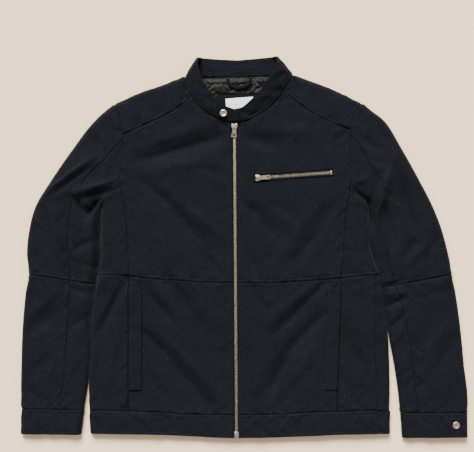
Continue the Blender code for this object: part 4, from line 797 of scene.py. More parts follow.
def split_roll(line, seam):
    """Four spans from a silhouette to a seam on the front, then four more to the line's end."""
    run = lengths(line)
    at = run[np.argmin(np.linalg.norm(line - np.array(seam), axis=1))]
    if at < 1.3 * ROLL:
        near = roll_places(at)
    else:
        near = roll_places(ROLL, (0, 30, 60, 90)) + [at]
    places = near + list(np.linspace(at, run[-1], 5)[1:])
    return along(line, fine(np.array(places) / run[-1]))


def with_tape_knot(line, segments):
    """Even spans, the last one as long as the zip tape reaches under the panel."""
    last = 1 - TAPE_REACH / lengths(line)[-1]
    return along(line, fine(list(np.linspace(0, last, segments)) + [1.0]))


def with_pocket_knot(line, segments):
    """As above, with a first span as wide as a pocket welt."""
    run = lengths(line)[-1]
    first, last = POCKET_WIDTH / run, 1 - TAPE_REACH / run
    return along(line, fine([0.0] + list(np.linspace(first, last, segments - 1)) + [1.0]))


def knot_lines(side):
    """Every seam of one half of the front, as knots shared by the pieces that meet there."""
    shares, under = arm_shares(side)
    arm_curve = spline(ARMHOLE[side])
    arm = along(arm_curve, shares)
    body = spline(SIDE[side])
    waist_at = SIDE[side][5 if side == "right" else 4]
    down = lengths(body)
    at_waist = down[np.argmin(np.linalg.norm(body - waist_at, axis=1))] / down[-1]
    at_seam = down[np.argmin(np.linalg.norm(body - HEM_SEAM[side][0], axis=1))] / down[-1]
    side_low = along(body, fine(np.linspace(at_waist, at_seam, 8)))
    waist_in = PRINCESS[side][-1]
    low_ends = np.array([waist_in, HEM_SEAM[side][1]], float)
    knots = {}
    for name, line, left_seam in (
        ("waist_side", [side_low[0]] + WAIST_SIDE[side] + [waist_in], SIDE_SEAM_LEFT[0]),
        ("seam_side", HEM_SEAM[side][:2], SIDE_SEAM_LEFT[-1]),
        ("hem_side", HEM[side][:2], HEM_SIDE_SEAM_LEFT[-1]),
    ):
        line = spline(line)
        knots[name] = rolled(line, 4, at_start=True) if side == "right" else split_roll(line, left_seam)
    for name, line, at_zip in (
        ("waist_front", [waist_in] + WAIST_FRONT[side], WAIST_AT_ZIP),
        ("seam_front", HEM_SEAM[side][1:], HEM_SEAM_AT_ZIP),
        ("hem_front", HEM[side][1:], HEM_AT_ZIP),
    ):
        knots[name] = with_pocket_knot(spline(line + [front_edge(side, at_zip)]), 10)
    for name, high, low, segments in (
        ("zip_up", NECK_AT_ZIP, WAIST_AT_ZIP, 10),
        ("zip_low", WAIST_AT_ZIP, HEM_SEAM_AT_ZIP, 7),
        ("zip_hem", HEM_SEAM_AT_ZIP, HEM_AT_ZIP, 2),
    ):
        knots[name] = np.array([front_edge(side, y) for y in fine(np.linspace(high, low, segments + 1))])
    return {
        **knots,
        "arm": arm,
        "arm_under": along(arm_curve, under),
        "side_up": along(body, fine(np.linspace(0, at_waist, 6))),
        "side_low": side_low,
        "side_hem": along(body, fine(np.linspace(at_seam, 1, 3))),
        "princess_up": even(spline([arm[PRINCESS_KNOT]] + PRINCESS[side]), 5),
        "princess_low": even(low_ends, 7),
        "yoke": even(spline([arm[YOKE_KNOT]] + YOKE_SEAM[side]), 5),
        "shoulder": even(spline(SHOULDER[side]), 5),
        "neck_side": rolled(spline(NECK_SIDE[side]), 3, at_start=True),
        "neck_front": with_tape_knot(
            spline(NECK_FRONT[side] + [front_edge(side, NECK_AT_ZIP)]), 5
        ),
    }


# Cloth pieces.

SHAPES = {}  # each finished piece's outer points and ways out, for what lies on it


def linear(code):
    """A colour's linear values from its sRGB hex code."""
    parts = [int(code[i : i + 2], 16) / 255 for i in (1, 3, 5)]
    return tuple(c / 12.92 if c <= 0.04045 else ((c + 0.055) / 1.055) ** 2.4 for c in parts)


def surface_ways(points, normals):
    """Ways out of a displaced surface, turned the same way as the old ones."""
    across, down = np.gradient(points, axis=1), np.gradient(points, axis=0)
    ways = unit(np.cross(across, down))
    agree = np.sum(ways * normals, axis=-1, keepdims=True)
    ways = np.where(agree < 0, -ways, ways)
    return np.where(np.abs(agree) < 0.3, normals, ways)


# How a border is finished. Columns: dip at the border, height of the lap, distance of the
# stitches (0 for none), depth of the line of stitches, strength of the puckers.
FINISHES = {
    "opening": (3.0, 0.0, LAP, 0.4, 0.8),
    "seam": (1.3, 0.0, 0.0, 0.0, 1.0),
    "lap": (1.3, 0.12, LAP, 0.55, 1.0),
    "side": (0.3, 0.0, 0.0, 0.0, 0.5),
    "zip": (0.3, 0.15, ZIP_STITCH, 0.4, 0.6),
    "free": (0.3, 0.1, EDGE_STITCH, 0.3, 0.5),
    "welt": (0.6, 0.0, 2.2, 0.2, 0.2),
    "rim": (1.0, 0.2, 3.0, 0.4, 0.3),
    "bare": (0.0, 0.0, 0.0, 0.0, 0.0),
}


def finish_relief(distance, run, finish, seed):
    """The relief that one finished border gives the cloth near it."""
    style = bpy.context.scene.jacket_cloth
    dip, lap, stitch, depth, pucker = FINISHES[finish]
    relief = -dip * np.exp(-((distance / (0.8 + 0.35 * dip)) ** 2))
    if stitch:
        relief += lap * smooth_step(distance / 1.6) * (1 - smooth_step((distance - stitch + 1.2) / 1.4))
        relief -= depth * np.exp(-(((distance - stitch) / 0.9) ** 2))
    waves = 0.0
    for number, (height, size, reach, slant, stretch) in enumerate(PUCKERS):
        wave = ripple(run + slant * distance, distance * stretch, size, seed + number)
        waves = waves + height * wave * np.exp(-((distance / reach) ** 2))
    return relief + style.pucker * pucker * smooth_step(distance / PUCKER_START) * waves


def per_vertex(finishes, breaks, count):
    """A side's finishes spelled out for each of its points, split at the side's breaks."""
    names = [finishes] if isinstance(finishes, str) else list(finishes)
    stops = [0, *breaks][: len(names)] + [count]
    spelled = []
    for name, first, second in zip(names, stops[:-1], stops[1:]):
        spelled += [name] * (second - first)
    return np.array(spelled)


def dressed(points, normals, sides, across, down, seed):
    """Points with the relief of their four finished sides: top, bottom, left, right."""
    run_a, run_d = run_across(points), run_down(points)
    distances = [run_d, run_d[-1:] - run_d, run_a, run_a[:, -1:] - run_a]
    borders = [run_a[:1], run_a[-1:], run_d[:, :1], run_d[:, -1:]]
    runs = [np.broadcast_to(border_run, run_a.shape) for border_run in borders]
    relief = np.zeros(points.shape[:2])
    for number, finishes in enumerate(sides):
        vertical = number < 2
        breaks, count = (across, points.shape[1]) if vertical else (down, len(points))
        spelled = per_vertex(finishes, breaks, count)
        for finish in set(spelled):
            if finish == "bare":
                continue
            mask = (spelled == finish).astype(float)
            mask = mask[None, :] if vertical else mask[:, None]
            relief += mask * finish_relief(distances[number], runs[number], finish, seed + 2 * number)
    return points + relief[..., None] * normals


def mesh_of(name, outer, inner, materials, ring=False):
    """A closed thin shell between two grids, with its own lengths as UV coordinates."""
    rows, columns = outer.shape[:2]
    count = rows * columns
    index = np.arange(count).reshape(rows, columns)
    wide = outer
    if ring:
        index = np.concatenate([index, index[:, :1]], axis=1)
        wide = np.concatenate([outer, outer[:, :1]], axis=1)
    middle = wide.shape[1] // 2
    u = run_across(wide)
    u = u - u[:, middle : middle + 1]
    uv = np.stack([u, run_down(wide)], axis=-1) * MM

    def corners(values):
        quads = [values[:-1, :-1], values[:-1, 1:], values[1:, 1:], values[1:, :-1]]
        return np.stack(quads, axis=2).reshape(-1, 4, *values.shape[2:])

    faces = [corners(index), corners(index)[:, ::-1] + count]
    maps = [corners(uv), corners(uv)[:, ::-1]]
    slots = [np.zeros(len(faces[0]), int), np.ones(len(faces[0]), int)]
    rims = [(index[0], uv[0]), (index[-1], uv[-1])]
    if not ring:
        rims += [(index[:, 0], uv[:, 0]), (index[:, -1], uv[:, -1])]
    for line, line_uv in rims:
        faces.append(np.stack([line[:-1], line[1:], line[1:] + count, line[:-1] + count], axis=1))
        low = line_uv + (0, CLOTH * MM)
        maps.append(np.stack([line_uv[:-1], line_uv[1:], low[1:], low[:-1]], axis=1))
        slots.append(np.zeros(len(line) - 1, int))
    faces, maps, slots = (np.concatenate(part) for part in (faces, maps, slots))
    vertices = np.concatenate([outer.reshape(-1, 3), inner.reshape(-1, 3)]) * MM
    mesh = bpy.data.meshes.new(name)
    mesh.from_pydata(vertices.tolist(), [], faces.tolist())
    mesh.uv_layers.new(name="cloth").data.foreach_set("uv", maps.ravel())
    mesh.polygons.foreach_set("material_index", slots if len(materials) > 1 else slots * 0)
    for surface in materials:
        mesh.materials.append(surface)
    tidy = bmesh.new()
    tidy.from_mesh(mesh)
    bmesh.ops.recalc_face_normals(tidy, faces=tidy.faces)
    tidy.to_mesh(mesh)
    tidy.free()
    mesh.shade_smooth()
    mesh.set_sharp_from_angle(angle=math.radians(50))
    return mesh


def add(name, data):
    """A new object in the scene."""
    made = bpy.data.objects.new(name, data)
    bpy.context.scene.collection.objects.link(made)
    return made


def seat(made, slot, *nodes, body="jacket"):
    """A finished piece rides on its body, in the place of its nodes."""
    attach(made, body)
    if nodes:
        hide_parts(*nodes)
    return made


def cloth(name, points, normals, sides, across=(), down=(), ring=False, thick=CLOTH,
          slot="navy_twill", inside="lining", rests=("floor",)):
    """One cloth piece: its skin with finished borders, and the same skin a wall deeper."""
    seed = sum(ord(c) * (i + 1) for i, c in enumerate(name))
    if ring:
        points = np.concatenate([points, points[:, :1]], axis=1)
        normals = np.concatenate([normals, normals[:, :1]], axis=1)
    points = dressed(points, normals, sides, across, down, seed)
    points[..., 2] = np.maximum(points[..., 2], 0.0)
    ways = surface_ways(points, normals)
    blend = unit(ways + normals)
    if ring:
        points, ways, blend = points[:, :-1], ways[:, :-1], blend[:, :-1]
    materials = [fabric(slot)] + ([fabric(inside)] if inside != slot else [])
    mesh = mesh_of(name + "_cloth", points, points - thick * blend, materials, ring)
    made = seat(add(name + "_cloth", mesh), slot, name)
    SHAPES[name] = (points, ways)
    return made


def panel(name, sides, hand, facing, finishes, parted=0.0, **options):
    """A panel between four borders of a plan patch."""
    grid, across, down = patch(*sides, hand)
    spacing = SPACING["front" if facing > 0 else "back"]
    grid, across, down = spread_both(grid, across, down, spacing=spacing)
    points, normals = skin(grid, facing, parted)
    return cloth(name, points, normals, finishes, across, down, **options)


def front_panels(side):
    k = knot_lines(side)
    hand, half = -SIGN[side], GAP / 2
    back, low_back = ["back_upper"], ["back_lower"]
    panel(
        f"yoke_{side}",
        ([(k["shoulder"], "edge")], [(k["yoke"], "seam")],
         [(k["arm"][: YOKE_KNOT + 1], "seam")], [(k["neck_side"], "seam")]),
        hand, 1, ("side", "lap", "lap", "seam"), half, rests=back,
    )
    panel(
        f"front_upper_{side}",
        ([(k["yoke"], "seam"), (k["neck_front"], "seam")], [(k["waist_front"], "seam")],
         [(k["arm"][YOKE_KNOT : PRINCESS_KNOT + 1], "seam"), (k["princess_up"], "seam")],
         [(k["zip_up"], "free")]),
        hand, 1, (("seam", "seam"), "lap", ("lap", "lap"), "zip"), rests=back,
    )
    panel(
        f"side_upper_{side}",
        ([(k["arm"][PRINCESS_KNOT:][::-1], "seam")], [(k["waist_side"], "seam")],
         [(k["side_up"], "edge")], [(k["princess_up"], "seam")]),
        hand, 1, ("lap", "lap", "side", "seam"), half, rests=back,
    )
    panel(
        f"front_lower_{side}",
        ([(k["waist_front"], "seam")], [(k["seam_front"], "seam")],
         [(k["princess_low"], "seam")], [(k["zip_low"], "free")]),
        hand, 1, ("seam", "seam", "seam", "zip"), rests=low_back,
    )
    if side == "right":
        outer, kind, first, hem_outer = k["side_low"], "edge", 0, k["side_hem"]
    else:
        outer, kind, first = even(spline(SIDE_SEAM_LEFT), 7), "seam", ROLL_KNOT
        outer[0], outer[-1] = k["waist_side"][ROLL_KNOT], k["seam_side"][ROLL_KNOT]
        hem_outer = fine(np.array([k["seam_side"][ROLL_KNOT], k["hem_side"][ROLL_KNOT]]), 2 * KNOT_PARTS)
    panel(
        f"side_lower_{side}",
        ([(k["waist_side"][first:], "seam")], [(k["seam_side"][first:], "seam")],
         [(outer, kind)], [(k["princess_low"], "seam")]),
        hand, 1, ("seam", "seam", "side", "opening"), half, rests=low_back,
    )
    seam = np.vstack([k["seam_side"][first:-1], k["seam_front"]])
    hem = np.vstack([k["hem_side"][first:-1], k["hem_front"]])
    panel(
        f"hem_front_{side}",
        ([(seam, "seam")], [(hem, "free")], [(hem_outer, kind)], [(k["zip_hem"], "free")]),
        hand, 1, ("lap", "free", "side", "zip"), half, inside="navy_twill", rests=["hem_back"],
    )
    return k, outer, hem_outer


def back_panels(right, left, seam_left, hem_seam_left):
    half = GAP / 2
    neck = rolled(np.linspace(right["shoulder"][-1], left["shoulder"][-1], 30), 4, True, True)
    waist, seam, hem = (
        rolled(np.linspace(right[name][end], left[name][end], 30), 14, True, True)
        for name, end in (("side_low", 0), ("side_hem", 0), ("side_hem", -1))
    )
    panel(
        "back_upper",
        ([(right["shoulder"], "edge"), (neck, "seam"), (left["shoulder"][::-1], "edge")],
         [(waist, "seam")],
         [(right["arm_under"], "seam"), (right["side_up"], "edge")],
         [(left["arm_under"], "seam"), (left["side_up"], "edge")]),
        1.0, -1, (("side", "seam", "side"), "lap", ("lap", "side"), ("lap", "side")), half,
    )
    wrapped(
        "back_lower", (waist, "seam"), (seam, "seam"), right["side_low"], left["side_low"],
        left["waist_side"][: ROLL_KNOT + 1], left["seam_side"][: ROLL_KNOT + 1], seam_left,
        ("seam", "seam", "side", "seam"), "lining",
    )
    wrapped(
        "hem_back", (seam, "seam"), (hem, "free"), right["side_hem"], left["side_hem"],
        left["seam_side"][: ROLL_KNOT + 1], left["hem_side"][: ROLL_KNOT + 1], hem_seam_left,
        ("lap", "free", "side", "seam"), "navy_twill",
    )
    return neck


def wrapped(name, top, bottom, right_edge, left_edge, over_top, over_bottom, seam, finishes, inside):
    """A back piece that goes on round the wearer's left edge to a seam on the front."""
    under, _, _ = patch([top], [bottom], [(right_edge, "edge")], [(left_edge, "edge")])
    over, _, _ = patch(
        [(over_top, top[1])], [(over_bottom, bottom[1])], [(left_edge, "edge")], [(seam, "seam")], -1.0
    )
    fold = under.shape[1] - 1
    grid = np.concatenate([under, over[:, 1:]], axis=1)
    grid, kept, _ = spread_both(grid, [fold], close=[fold], spacing=SPACING["back"])
    columns = np.arange(grid.shape[1])
    facing = np.where(columns <= kept[0], -1, 1)[None, :]
    parted = np.where(columns < kept[0] // 2, GAP / 2, 0.0)[None, :]
    points, normals = skin(grid, facing, parted)
    return cloth(name, points, normals, finishes, inside=inside)


# Sleeves.


def sleeve_rows(side, first, last):
    """Dense rows across the sleeve: the outer and inner ends, the bow and the long seam's share."""
    inner_line = sleeve_inner_line(side)
    upper, lower = SLEEVE_UPPER[side], SLEEVE_LOWER[side]
    outers = [(row[0], row[1]) for row in upper] + [(row[0], row[1]) for row in lower]
    inner_ys = [row[2] for row in upper] + [row[3] for row in lower]
    bows = [row[3] for row in upper] + [0.0] * len(lower)
    shares = [row[4] for row in upper] + [row[4] for row in lower]
    parts = 8
    spots = np.arange(first * parts, last * parts + 1)
    outer = spline(outers, parts)[spots]
    numbers = np.arange(len(outers))
    inner_y, bow, share = (np.interp(spots / parts, numbers, v) for v in (inner_ys, bows, shares))
    order = np.argsort(inner_line[:, 1])
    inner_x = np.interp(inner_y, inner_line[order, 1], inner_line[order, 0])
    return outer, np.stack([inner_x, inner_y], axis=1), bow, share


def sleeve_piece(side, part, first, last, name, finishes, ends, inside="lining"):
    """One sleeve piece over the rows from first to last; it turns at the sleeve's two edges."""
    outer, inner, bow, long_seam = sleeve_rows(side, first, last)
    arm = spline(ARMHOLE[side])
    arc = lengths(arm)[-1]
    top, under = arm_shares(side)
    roll0, middle = top[ROLL_KNOT], len(under) // 2
    rows = []
    for out_end, in_end, keeps, seam in zip(outer, inner, bow, long_seam):
        width = keeps * arc + (1 - keeps) * np.linalg.norm(out_end - in_end)
        roll = min(ROLL / width, 0.2)
        over = np.interp(top, [0, roll0, top[LONG_KNOT], 1 - roll0, 1], [0, roll, seam, 1 - roll, 1])
        below = np.interp(under, [0, roll0, 1 - roll0, 1], [0, roll, 1 - roll, 1])
        if part == "outer":
            shares = np.concatenate([over[: LONG_KNOT + 1][::-1], below[1 : middle + 1]])
            fold = LONG_KNOT
        elif part == "inner":
            shares = np.concatenate([over[LONG_KNOT:], below[middle:-1][::-1]])
            fold = len(over) - 1 - LONG_KNOT
        else:
            shares = np.concatenate([over, below[:-1][::-1]])
            fold = len(over) - 1
        chord = arm[0] + shares[:, None] * (arm[-1] - arm[0])
        bend = along(arm, shares) - chord
        taper = np.interp(keeps, [0.8, 1.0], [1.0, 0.0])
        bend *= (1 - taper * smooth_step((shares - 0.7) / 0.25))[:, None]
        points = out_end + shares[:, None] * (in_end - out_end) + keeps * bend
        if keeps == 1.0:
            ways = side_normals(arm, -SIGN[side])
            run = lengths(arm) / arc
            back = [np.interp(shares, run, ways[:, c]) for c in range(2)]
            points = points + GAP / 2 * np.stack(back, axis=1)
        rows.append(points)
    grid, kept, _ = spread_both(np.array(rows), [fold], close=[fold], spacing=SPACING["sleeve"])
    facing = np.where(np.arange(grid.shape[1]) <= kept[0], 1, -1)[None, :]
    ring = part == "ring"
    if ring:
        grid, facing = grid[:, :-1], facing[:, :-1]
    points, normals = skin(grid, facing, part="sleeve")
    points = part_seams(points, ends, not ring)
    cloth(name, points, normals, finishes, ring=ring, inside=inside)


def part_seams(points, ends=(True, True), sides=True):
    """Set a finished grid's borders back by half the gap, along its own surface."""
    moved = points.copy()
    half = GAP / 2
    if ends[0]:
        moved[0] += half * unit(points[1] - points[0])
    if ends[1]:
        moved[-1] += half * unit(points[-2] - points[-1])
    if sides:
        moved[:, 0] += half * unit(points[:, 1] - points[:, 0])
        moved[:, -1] += half * unit(points[:, -2] - points[:, -1])
    return moved


def sleeves(side):
    elbow = len(SLEEVE_UPPER[side]) - 1
    cuff = elbow + CUFF_FROM
    foot = elbow + len(SLEEVE_LOWER[side])
    for part, long_finish in (("outer", "seam"), ("inner", "lap")):
        upper = ("seam", "lap", long_finish, "side")
        lower = ("seam", "seam", long_finish, "side")
        sleeve_piece(side, part, 0, elbow, f"sleeve_{part}_upper_{side}", upper, (False, True))
        sleeve_piece(side, part, elbow, cuff, f"sleeve_{part}_lower_{side}", lower, (True, True))
    sleeve_piece(
        side, "ring", cuff, foot, f"cuff_{side}", ("lap", "free", "bare", "bare"), (True, False),
        "navy_twill",
    )


# Collar and tab.


def collar_table(side, places):
    table = spline(np.array(COLLAR_TOP[side], float), 8)
    spots = np.arange(len(table)) / 8
    return np.stack([np.interp(places, spots, table[:, c]) for c in range(4)], axis=1)


def collar_half(k, side):
    """Base and top points of the front half, from the zip to the fold at the shoulder."""
    start = [(float(zip_x(NECK_AT_ZIP)) + SIGN[side] * COLLAR_HALF_GAP, COLLAR_START_Y)]
    neck = k["neck_front"][::-1]
    base = np.vstack([fine(np.vstack([start, neck[:1]]))[:-1], neck, k["neck_side"][::-1][1:]])
    knots = (len(base) - 1) // KNOT_PARTS + 1
    places = np.concatenate([[0], np.linspace(0.3, 7, knots - 5), COLLAR_NEAR_FOLD])
    points, ways = skin(base, 1)
    return points, ways, collar_table(side, fine(places))


def collar_grid(right, left, neck):
    """The collar's outer face, right front to left front, with the ways out of it."""
    first, last = collar_half(right, "right"), collar_half(left, "left")
    back_points, back_ways = skin(neck[1:-1], -1)
    spots = along(spline(COLLAR_BACK_TOP), [0.25, 0.5, 0.75])
    flat = np.concatenate([spots, np.zeros((3, 1)), np.full((3, 1), -90.0)], axis=1)
    turns = [collar_table(side, COLLAR_ROUND_FOLD) for side in ("right", "left")]
    coarse = np.vstack([first[2][-1:], turns[0], flat, turns[1][::-1], last[2][-1:]])
    back_rows = fine(coarse)[1:-1]
    base = np.vstack([first[0], back_points, last[0][::-1]])
    base_way = np.vstack([first[1], back_ways, last[1][::-1]])
    rows = np.vstack([first[2], back_rows, last[2][::-1]])
    top = rows[:, :3]
    base[:, :2] += GAP / 2 * unit(top[:, :2] - base[:, :2])
    angle = np.radians(rows[:, 3])
    out = np.zeros((len(rows), 2))
    for side, part in (("right", slice(0, len(rows) // 2)), ("left", slice(len(rows) // 2, None))):
        fold = np.array(COLLAR_FOLD[side][-1], float) - COLLAR_FOLD[side][0]
        out[part] = SIGN[side] * unit(np.array([fold[1], -fold[0]]))
    top_way = np.concatenate([out * np.cos(angle)[:, None], np.sin(angle)[:, None]], axis=1)
    grid, ways = [], []
    for share in np.linspace(0, 1, 25):
        way = unit((1 - share) * base_way + share * top_way)
        bulge = COLLAR_BULGE * 4 * share * (1 - share)
        lift = np.where(rows[:, 3:4] > -89, bulge, 0.0)
        grid.append(base + share * (top - base) + lift * way)
        ways.append(way)
    return np.array(grid), np.array(ways)


def collar(right, left, neck):
    grid, ways = collar_grid(right, left, neck)
    run = run_across(grid)
    share = np.linspace(0, 1, len(grid))[:, None]
    facing_up = np.maximum(ways[..., 2:], 0.0)
    soft = 1.2 * ripple(run, share * 30 + 0.5 * run, 17, 21)
    soft = soft + 0.8 * ripple(run + share * 9, share * 18, 8, 23)
    soft = soft * np.sin(math.pi * share)
    soft = soft + crease_height(grid[..., :2], in_steps(COLLAR_CREASES))
    grid = grid + soft[..., None] * facing_up * ways
    lying = np.maximum(-ways[..., 2:], 0.0)
    small = ripple(run + share * 16, share * 20, 9, 25) * np.sin(math.pi * share)
    grid = grid - 1.1 * np.abs(small)[..., None] * lying * ways
    cloth(
        "collar", grid, ways, ("lap", "free", "bare", "bare"), thick=COLLAR_WALL,
        inside="navy_twill", rests=["back_upper", "front_upper_left", "front_upper_right"],
    )
    tab(grid, ways)


def tab(grid, ways):
    """The fastening tab: sewn on by the zip, its round end lying over the other front."""
    under = np.r_[-3 * KNOT_PARTS : 0, 0 : 8 * KNOT_PARTS]  # the collar's columns below the tab
    order = under[np.argsort(grid[0, under, 0])]
    base, top, way = grid[0, order], grid[-1, order], ways[0, order]
    rows, outs = [], []
    places = TAB_NEAR + list(np.linspace(8, TAB_LENGTH, 16))
    for x in TAB_LEFT + np.array(places):
        inset = min(x - TAB_LEFT, TAB_ROUND)
        round_share = math.sqrt(TAB_ROUND**2 - (TAB_ROUND - inset) ** 2) / TAB_ROUND
        half = TAB_HALF * (TAB_END + (1 - TAB_END) * round_share)
        low, high, out = (
            np.array([np.interp(x, base[:, 0], table[:, c]) for c in range(3)])
            for table in (base, top, way)
        )
        shares = np.sin(np.linspace(-math.pi / 2, math.pi / 2, 15))
        rows.append([low + (TAB_MIDDLE + half * s) * (high - low) for s in shares])
        outs.append([out] * len(shares))
    points, out = np.array(rows), np.array(outs)
    crease = crease_height(points[..., :2], [TAB_CREASE])
    outer = points + (TAB_LIFT + TAB_WALL + crease)[..., None] * out
    face = dressed(outer, out, ("rim", "bare", "rim", "rim"), (), (), TAB_SEED)
    mesh = mesh_of("collar_tab_cloth", face, points + TAB_LIFT * out, [fabric("navy_twill")])
    made = seat(add("collar_tab_cloth", mesh), "navy_twill", "collar_tab")
    SHAPES["collar_tab"] = (face, surface_ways(face, out))
    row, column = np.argmin(np.abs(np.array(places) - TAB_SNAP_AT)), 6
    SHAPES["tab_snap_at"] = (face[row, column] + 0.7 * out[row, column], out[row, column])


# Pockets, tapes and neck.


def welts(side, k):
    """A side pocket's welt, sewn down at its ends and open along its outer edge."""
    seam = k["princess_low"]
    ys = np.linspace(POCKET_TOP, POCKET_FOOT, 60)
    x = np.interp(-ys, -seam[:, 1], seam[:, 0])
    left = np.stack([x - SIGN[side] * GAP / 2, ys], axis=1)
    right = left - [SIGN[side] * (POCKET_WIDTH - GAP), 0]
    grid = left[:, None] + np.linspace(0, 1, 9)[None, :, None] * (right - left)[:, None]
    grid, _, _ = spread_both(grid)
    points, normals = skin(grid, 1)
    base = points + WELT_LIFT * normals
    cloth(
        f"pocket_welt_{side}", base + WELT_WALL * normals, normals, ("welt",) * 4, thick=WELT_WALL,
        inside="navy_twill", rests=[f"front_lower_{side}"],
    )


def zip_tapes(side):
    """The tape under a front's edge, from its selvedge to the middle of the teeth."""
    ys = np.linspace(NECK_AT_ZIP, HEM_AT_ZIP, 170)
    middle = np.stack([zip_x(ys) + SIGN[side] * GAP, ys], axis=1)
    out = np.stack([zip_x(ys) + SIGN[side] * (ZIP_HALF_GAP + TAPE_REACH), ys], axis=1)
    grid = middle[:, None] + np.linspace(0, 1, 8)[None, :, None] * (out - middle)[:, None]
    points, _ = skin(grid, 1)
    points[..., 2] = points[:, :1, 2] - CLOTH - TAPE_DROP
    normals = np.zeros_like(points) + (0, 0, 1)
    cloth(f"zip_tape_{side}", points, normals, ("bare",) * 4, thick=TAPE_WALL, inside="navy_twill",
          rests=[f"front_upper_{side}"])


def neck_plate(name, corners, over_back, thick, slot, wrinkle, size, seed, under):
    """A piece inside the neck, on four corners in plan, with its own small wrinkles."""
    a, b, c, d = [np.array(corner, float) for corner in corners]
    u = np.linspace(0, 1, 91)[None, :, None]
    v = np.linspace(0, 1, 41)[:, None, None]
    plan = (1 - v) * ((1 - u) * a + u * b) + v * ((1 - u) * d + u * c)
    x, y = plan[..., 0], plan[..., 1]
    rim = np.minimum(np.minimum(u, 1 - u) * 60, np.minimum(v, 1 - v) * 30)[..., 0]
    wave = ripple(x + 0.5 * y, y * 0.6, size, seed)
    wave = wave + 0.35 * ripple(x - 0.8 * y, y, size * 0.5, seed + 1)
    lift = wrinkle * np.sqrt(np.abs(wave)) * smooth_step(rim / 4)
    if slot == "lining":  # it lies flat where the facing covers it
        lift = lift * np.where((x > NECK_FACING[0][0]) & (y < NECK_FACING[0][1]), 0.0, 1.0)
    points = np.concatenate([plan, (CLOTH + GAP + over_back + thick + lift)[..., None]], axis=2)
    normals = np.zeros_like(points) + (0, 0, 1)
    cloth(name, points, normals, ("bare",) * 4, thick=thick, slot=slot, inside=slot, rests=[under])


def hanger_loop():
    line = spline(HANGER_LOOP, 12)
    side = side_normals(line, 1.0)
    across = np.linspace(-LOOP_HALF, LOOP_HALF, 9)
    plan = line[:, None] + across[None, :, None] * side[:, None]
    crown = LOOP_CROWN * (1 - 0.5 * (np.abs(across) / LOOP_HALF) ** 3)
    height = np.zeros(plan.shape[:2]) + LOOP_LIFT + crown[None, :]
    points = np.concatenate([plan, height[..., None]], axis=2)
    normals = np.zeros_like(points) + (0, 0, 1)
    cloth("hanger_loop", points, normals, ("bare",) * 4, thick=LOOP_WALL, inside="navy_twill",
          rests=["neck_lining"])


# Materials.

LINT = (0.09, 0.09, 0.1, 1.0)  # flecks on the nap, in linear values, like the sheen's tint
SHEEN = (0.8, 0.86, 1.0, 1.0)


def node(tree, kind, inputs=(), **settings):
    """A node of one kind, with its settings and its input values or links."""
    made = tree.nodes.new(kind)
    for name, value in settings.items():
        setattr(made, name, value)
    for name, value in dict(inputs).items():
        socket = made.inputs[name]
        if isinstance(value, bpy.types.NodeSocket):
            tree.links.new(value, socket)
        else:
            socket.default_value = value
    return made


def new_material(name):
    made = bpy.data.materials.new(name)
    made.use_nodes = True
    return made, made.node_tree, made.node_tree.nodes["Principled BSDF"]


def shade(tree, shader, values):
    for name, value in values.items():
        if isinstance(value, bpy.types.NodeSocket):
            tree.links.new(value, shader.inputs[name])
        else:
            shader.inputs[name].default_value = value


def four(colour, share=1.0):
    """A colour as a socket takes it, made lighter or darker by a share."""
    return (*(min(1.0, c * share) for c in tuple(colour)[:3]), 1.0)


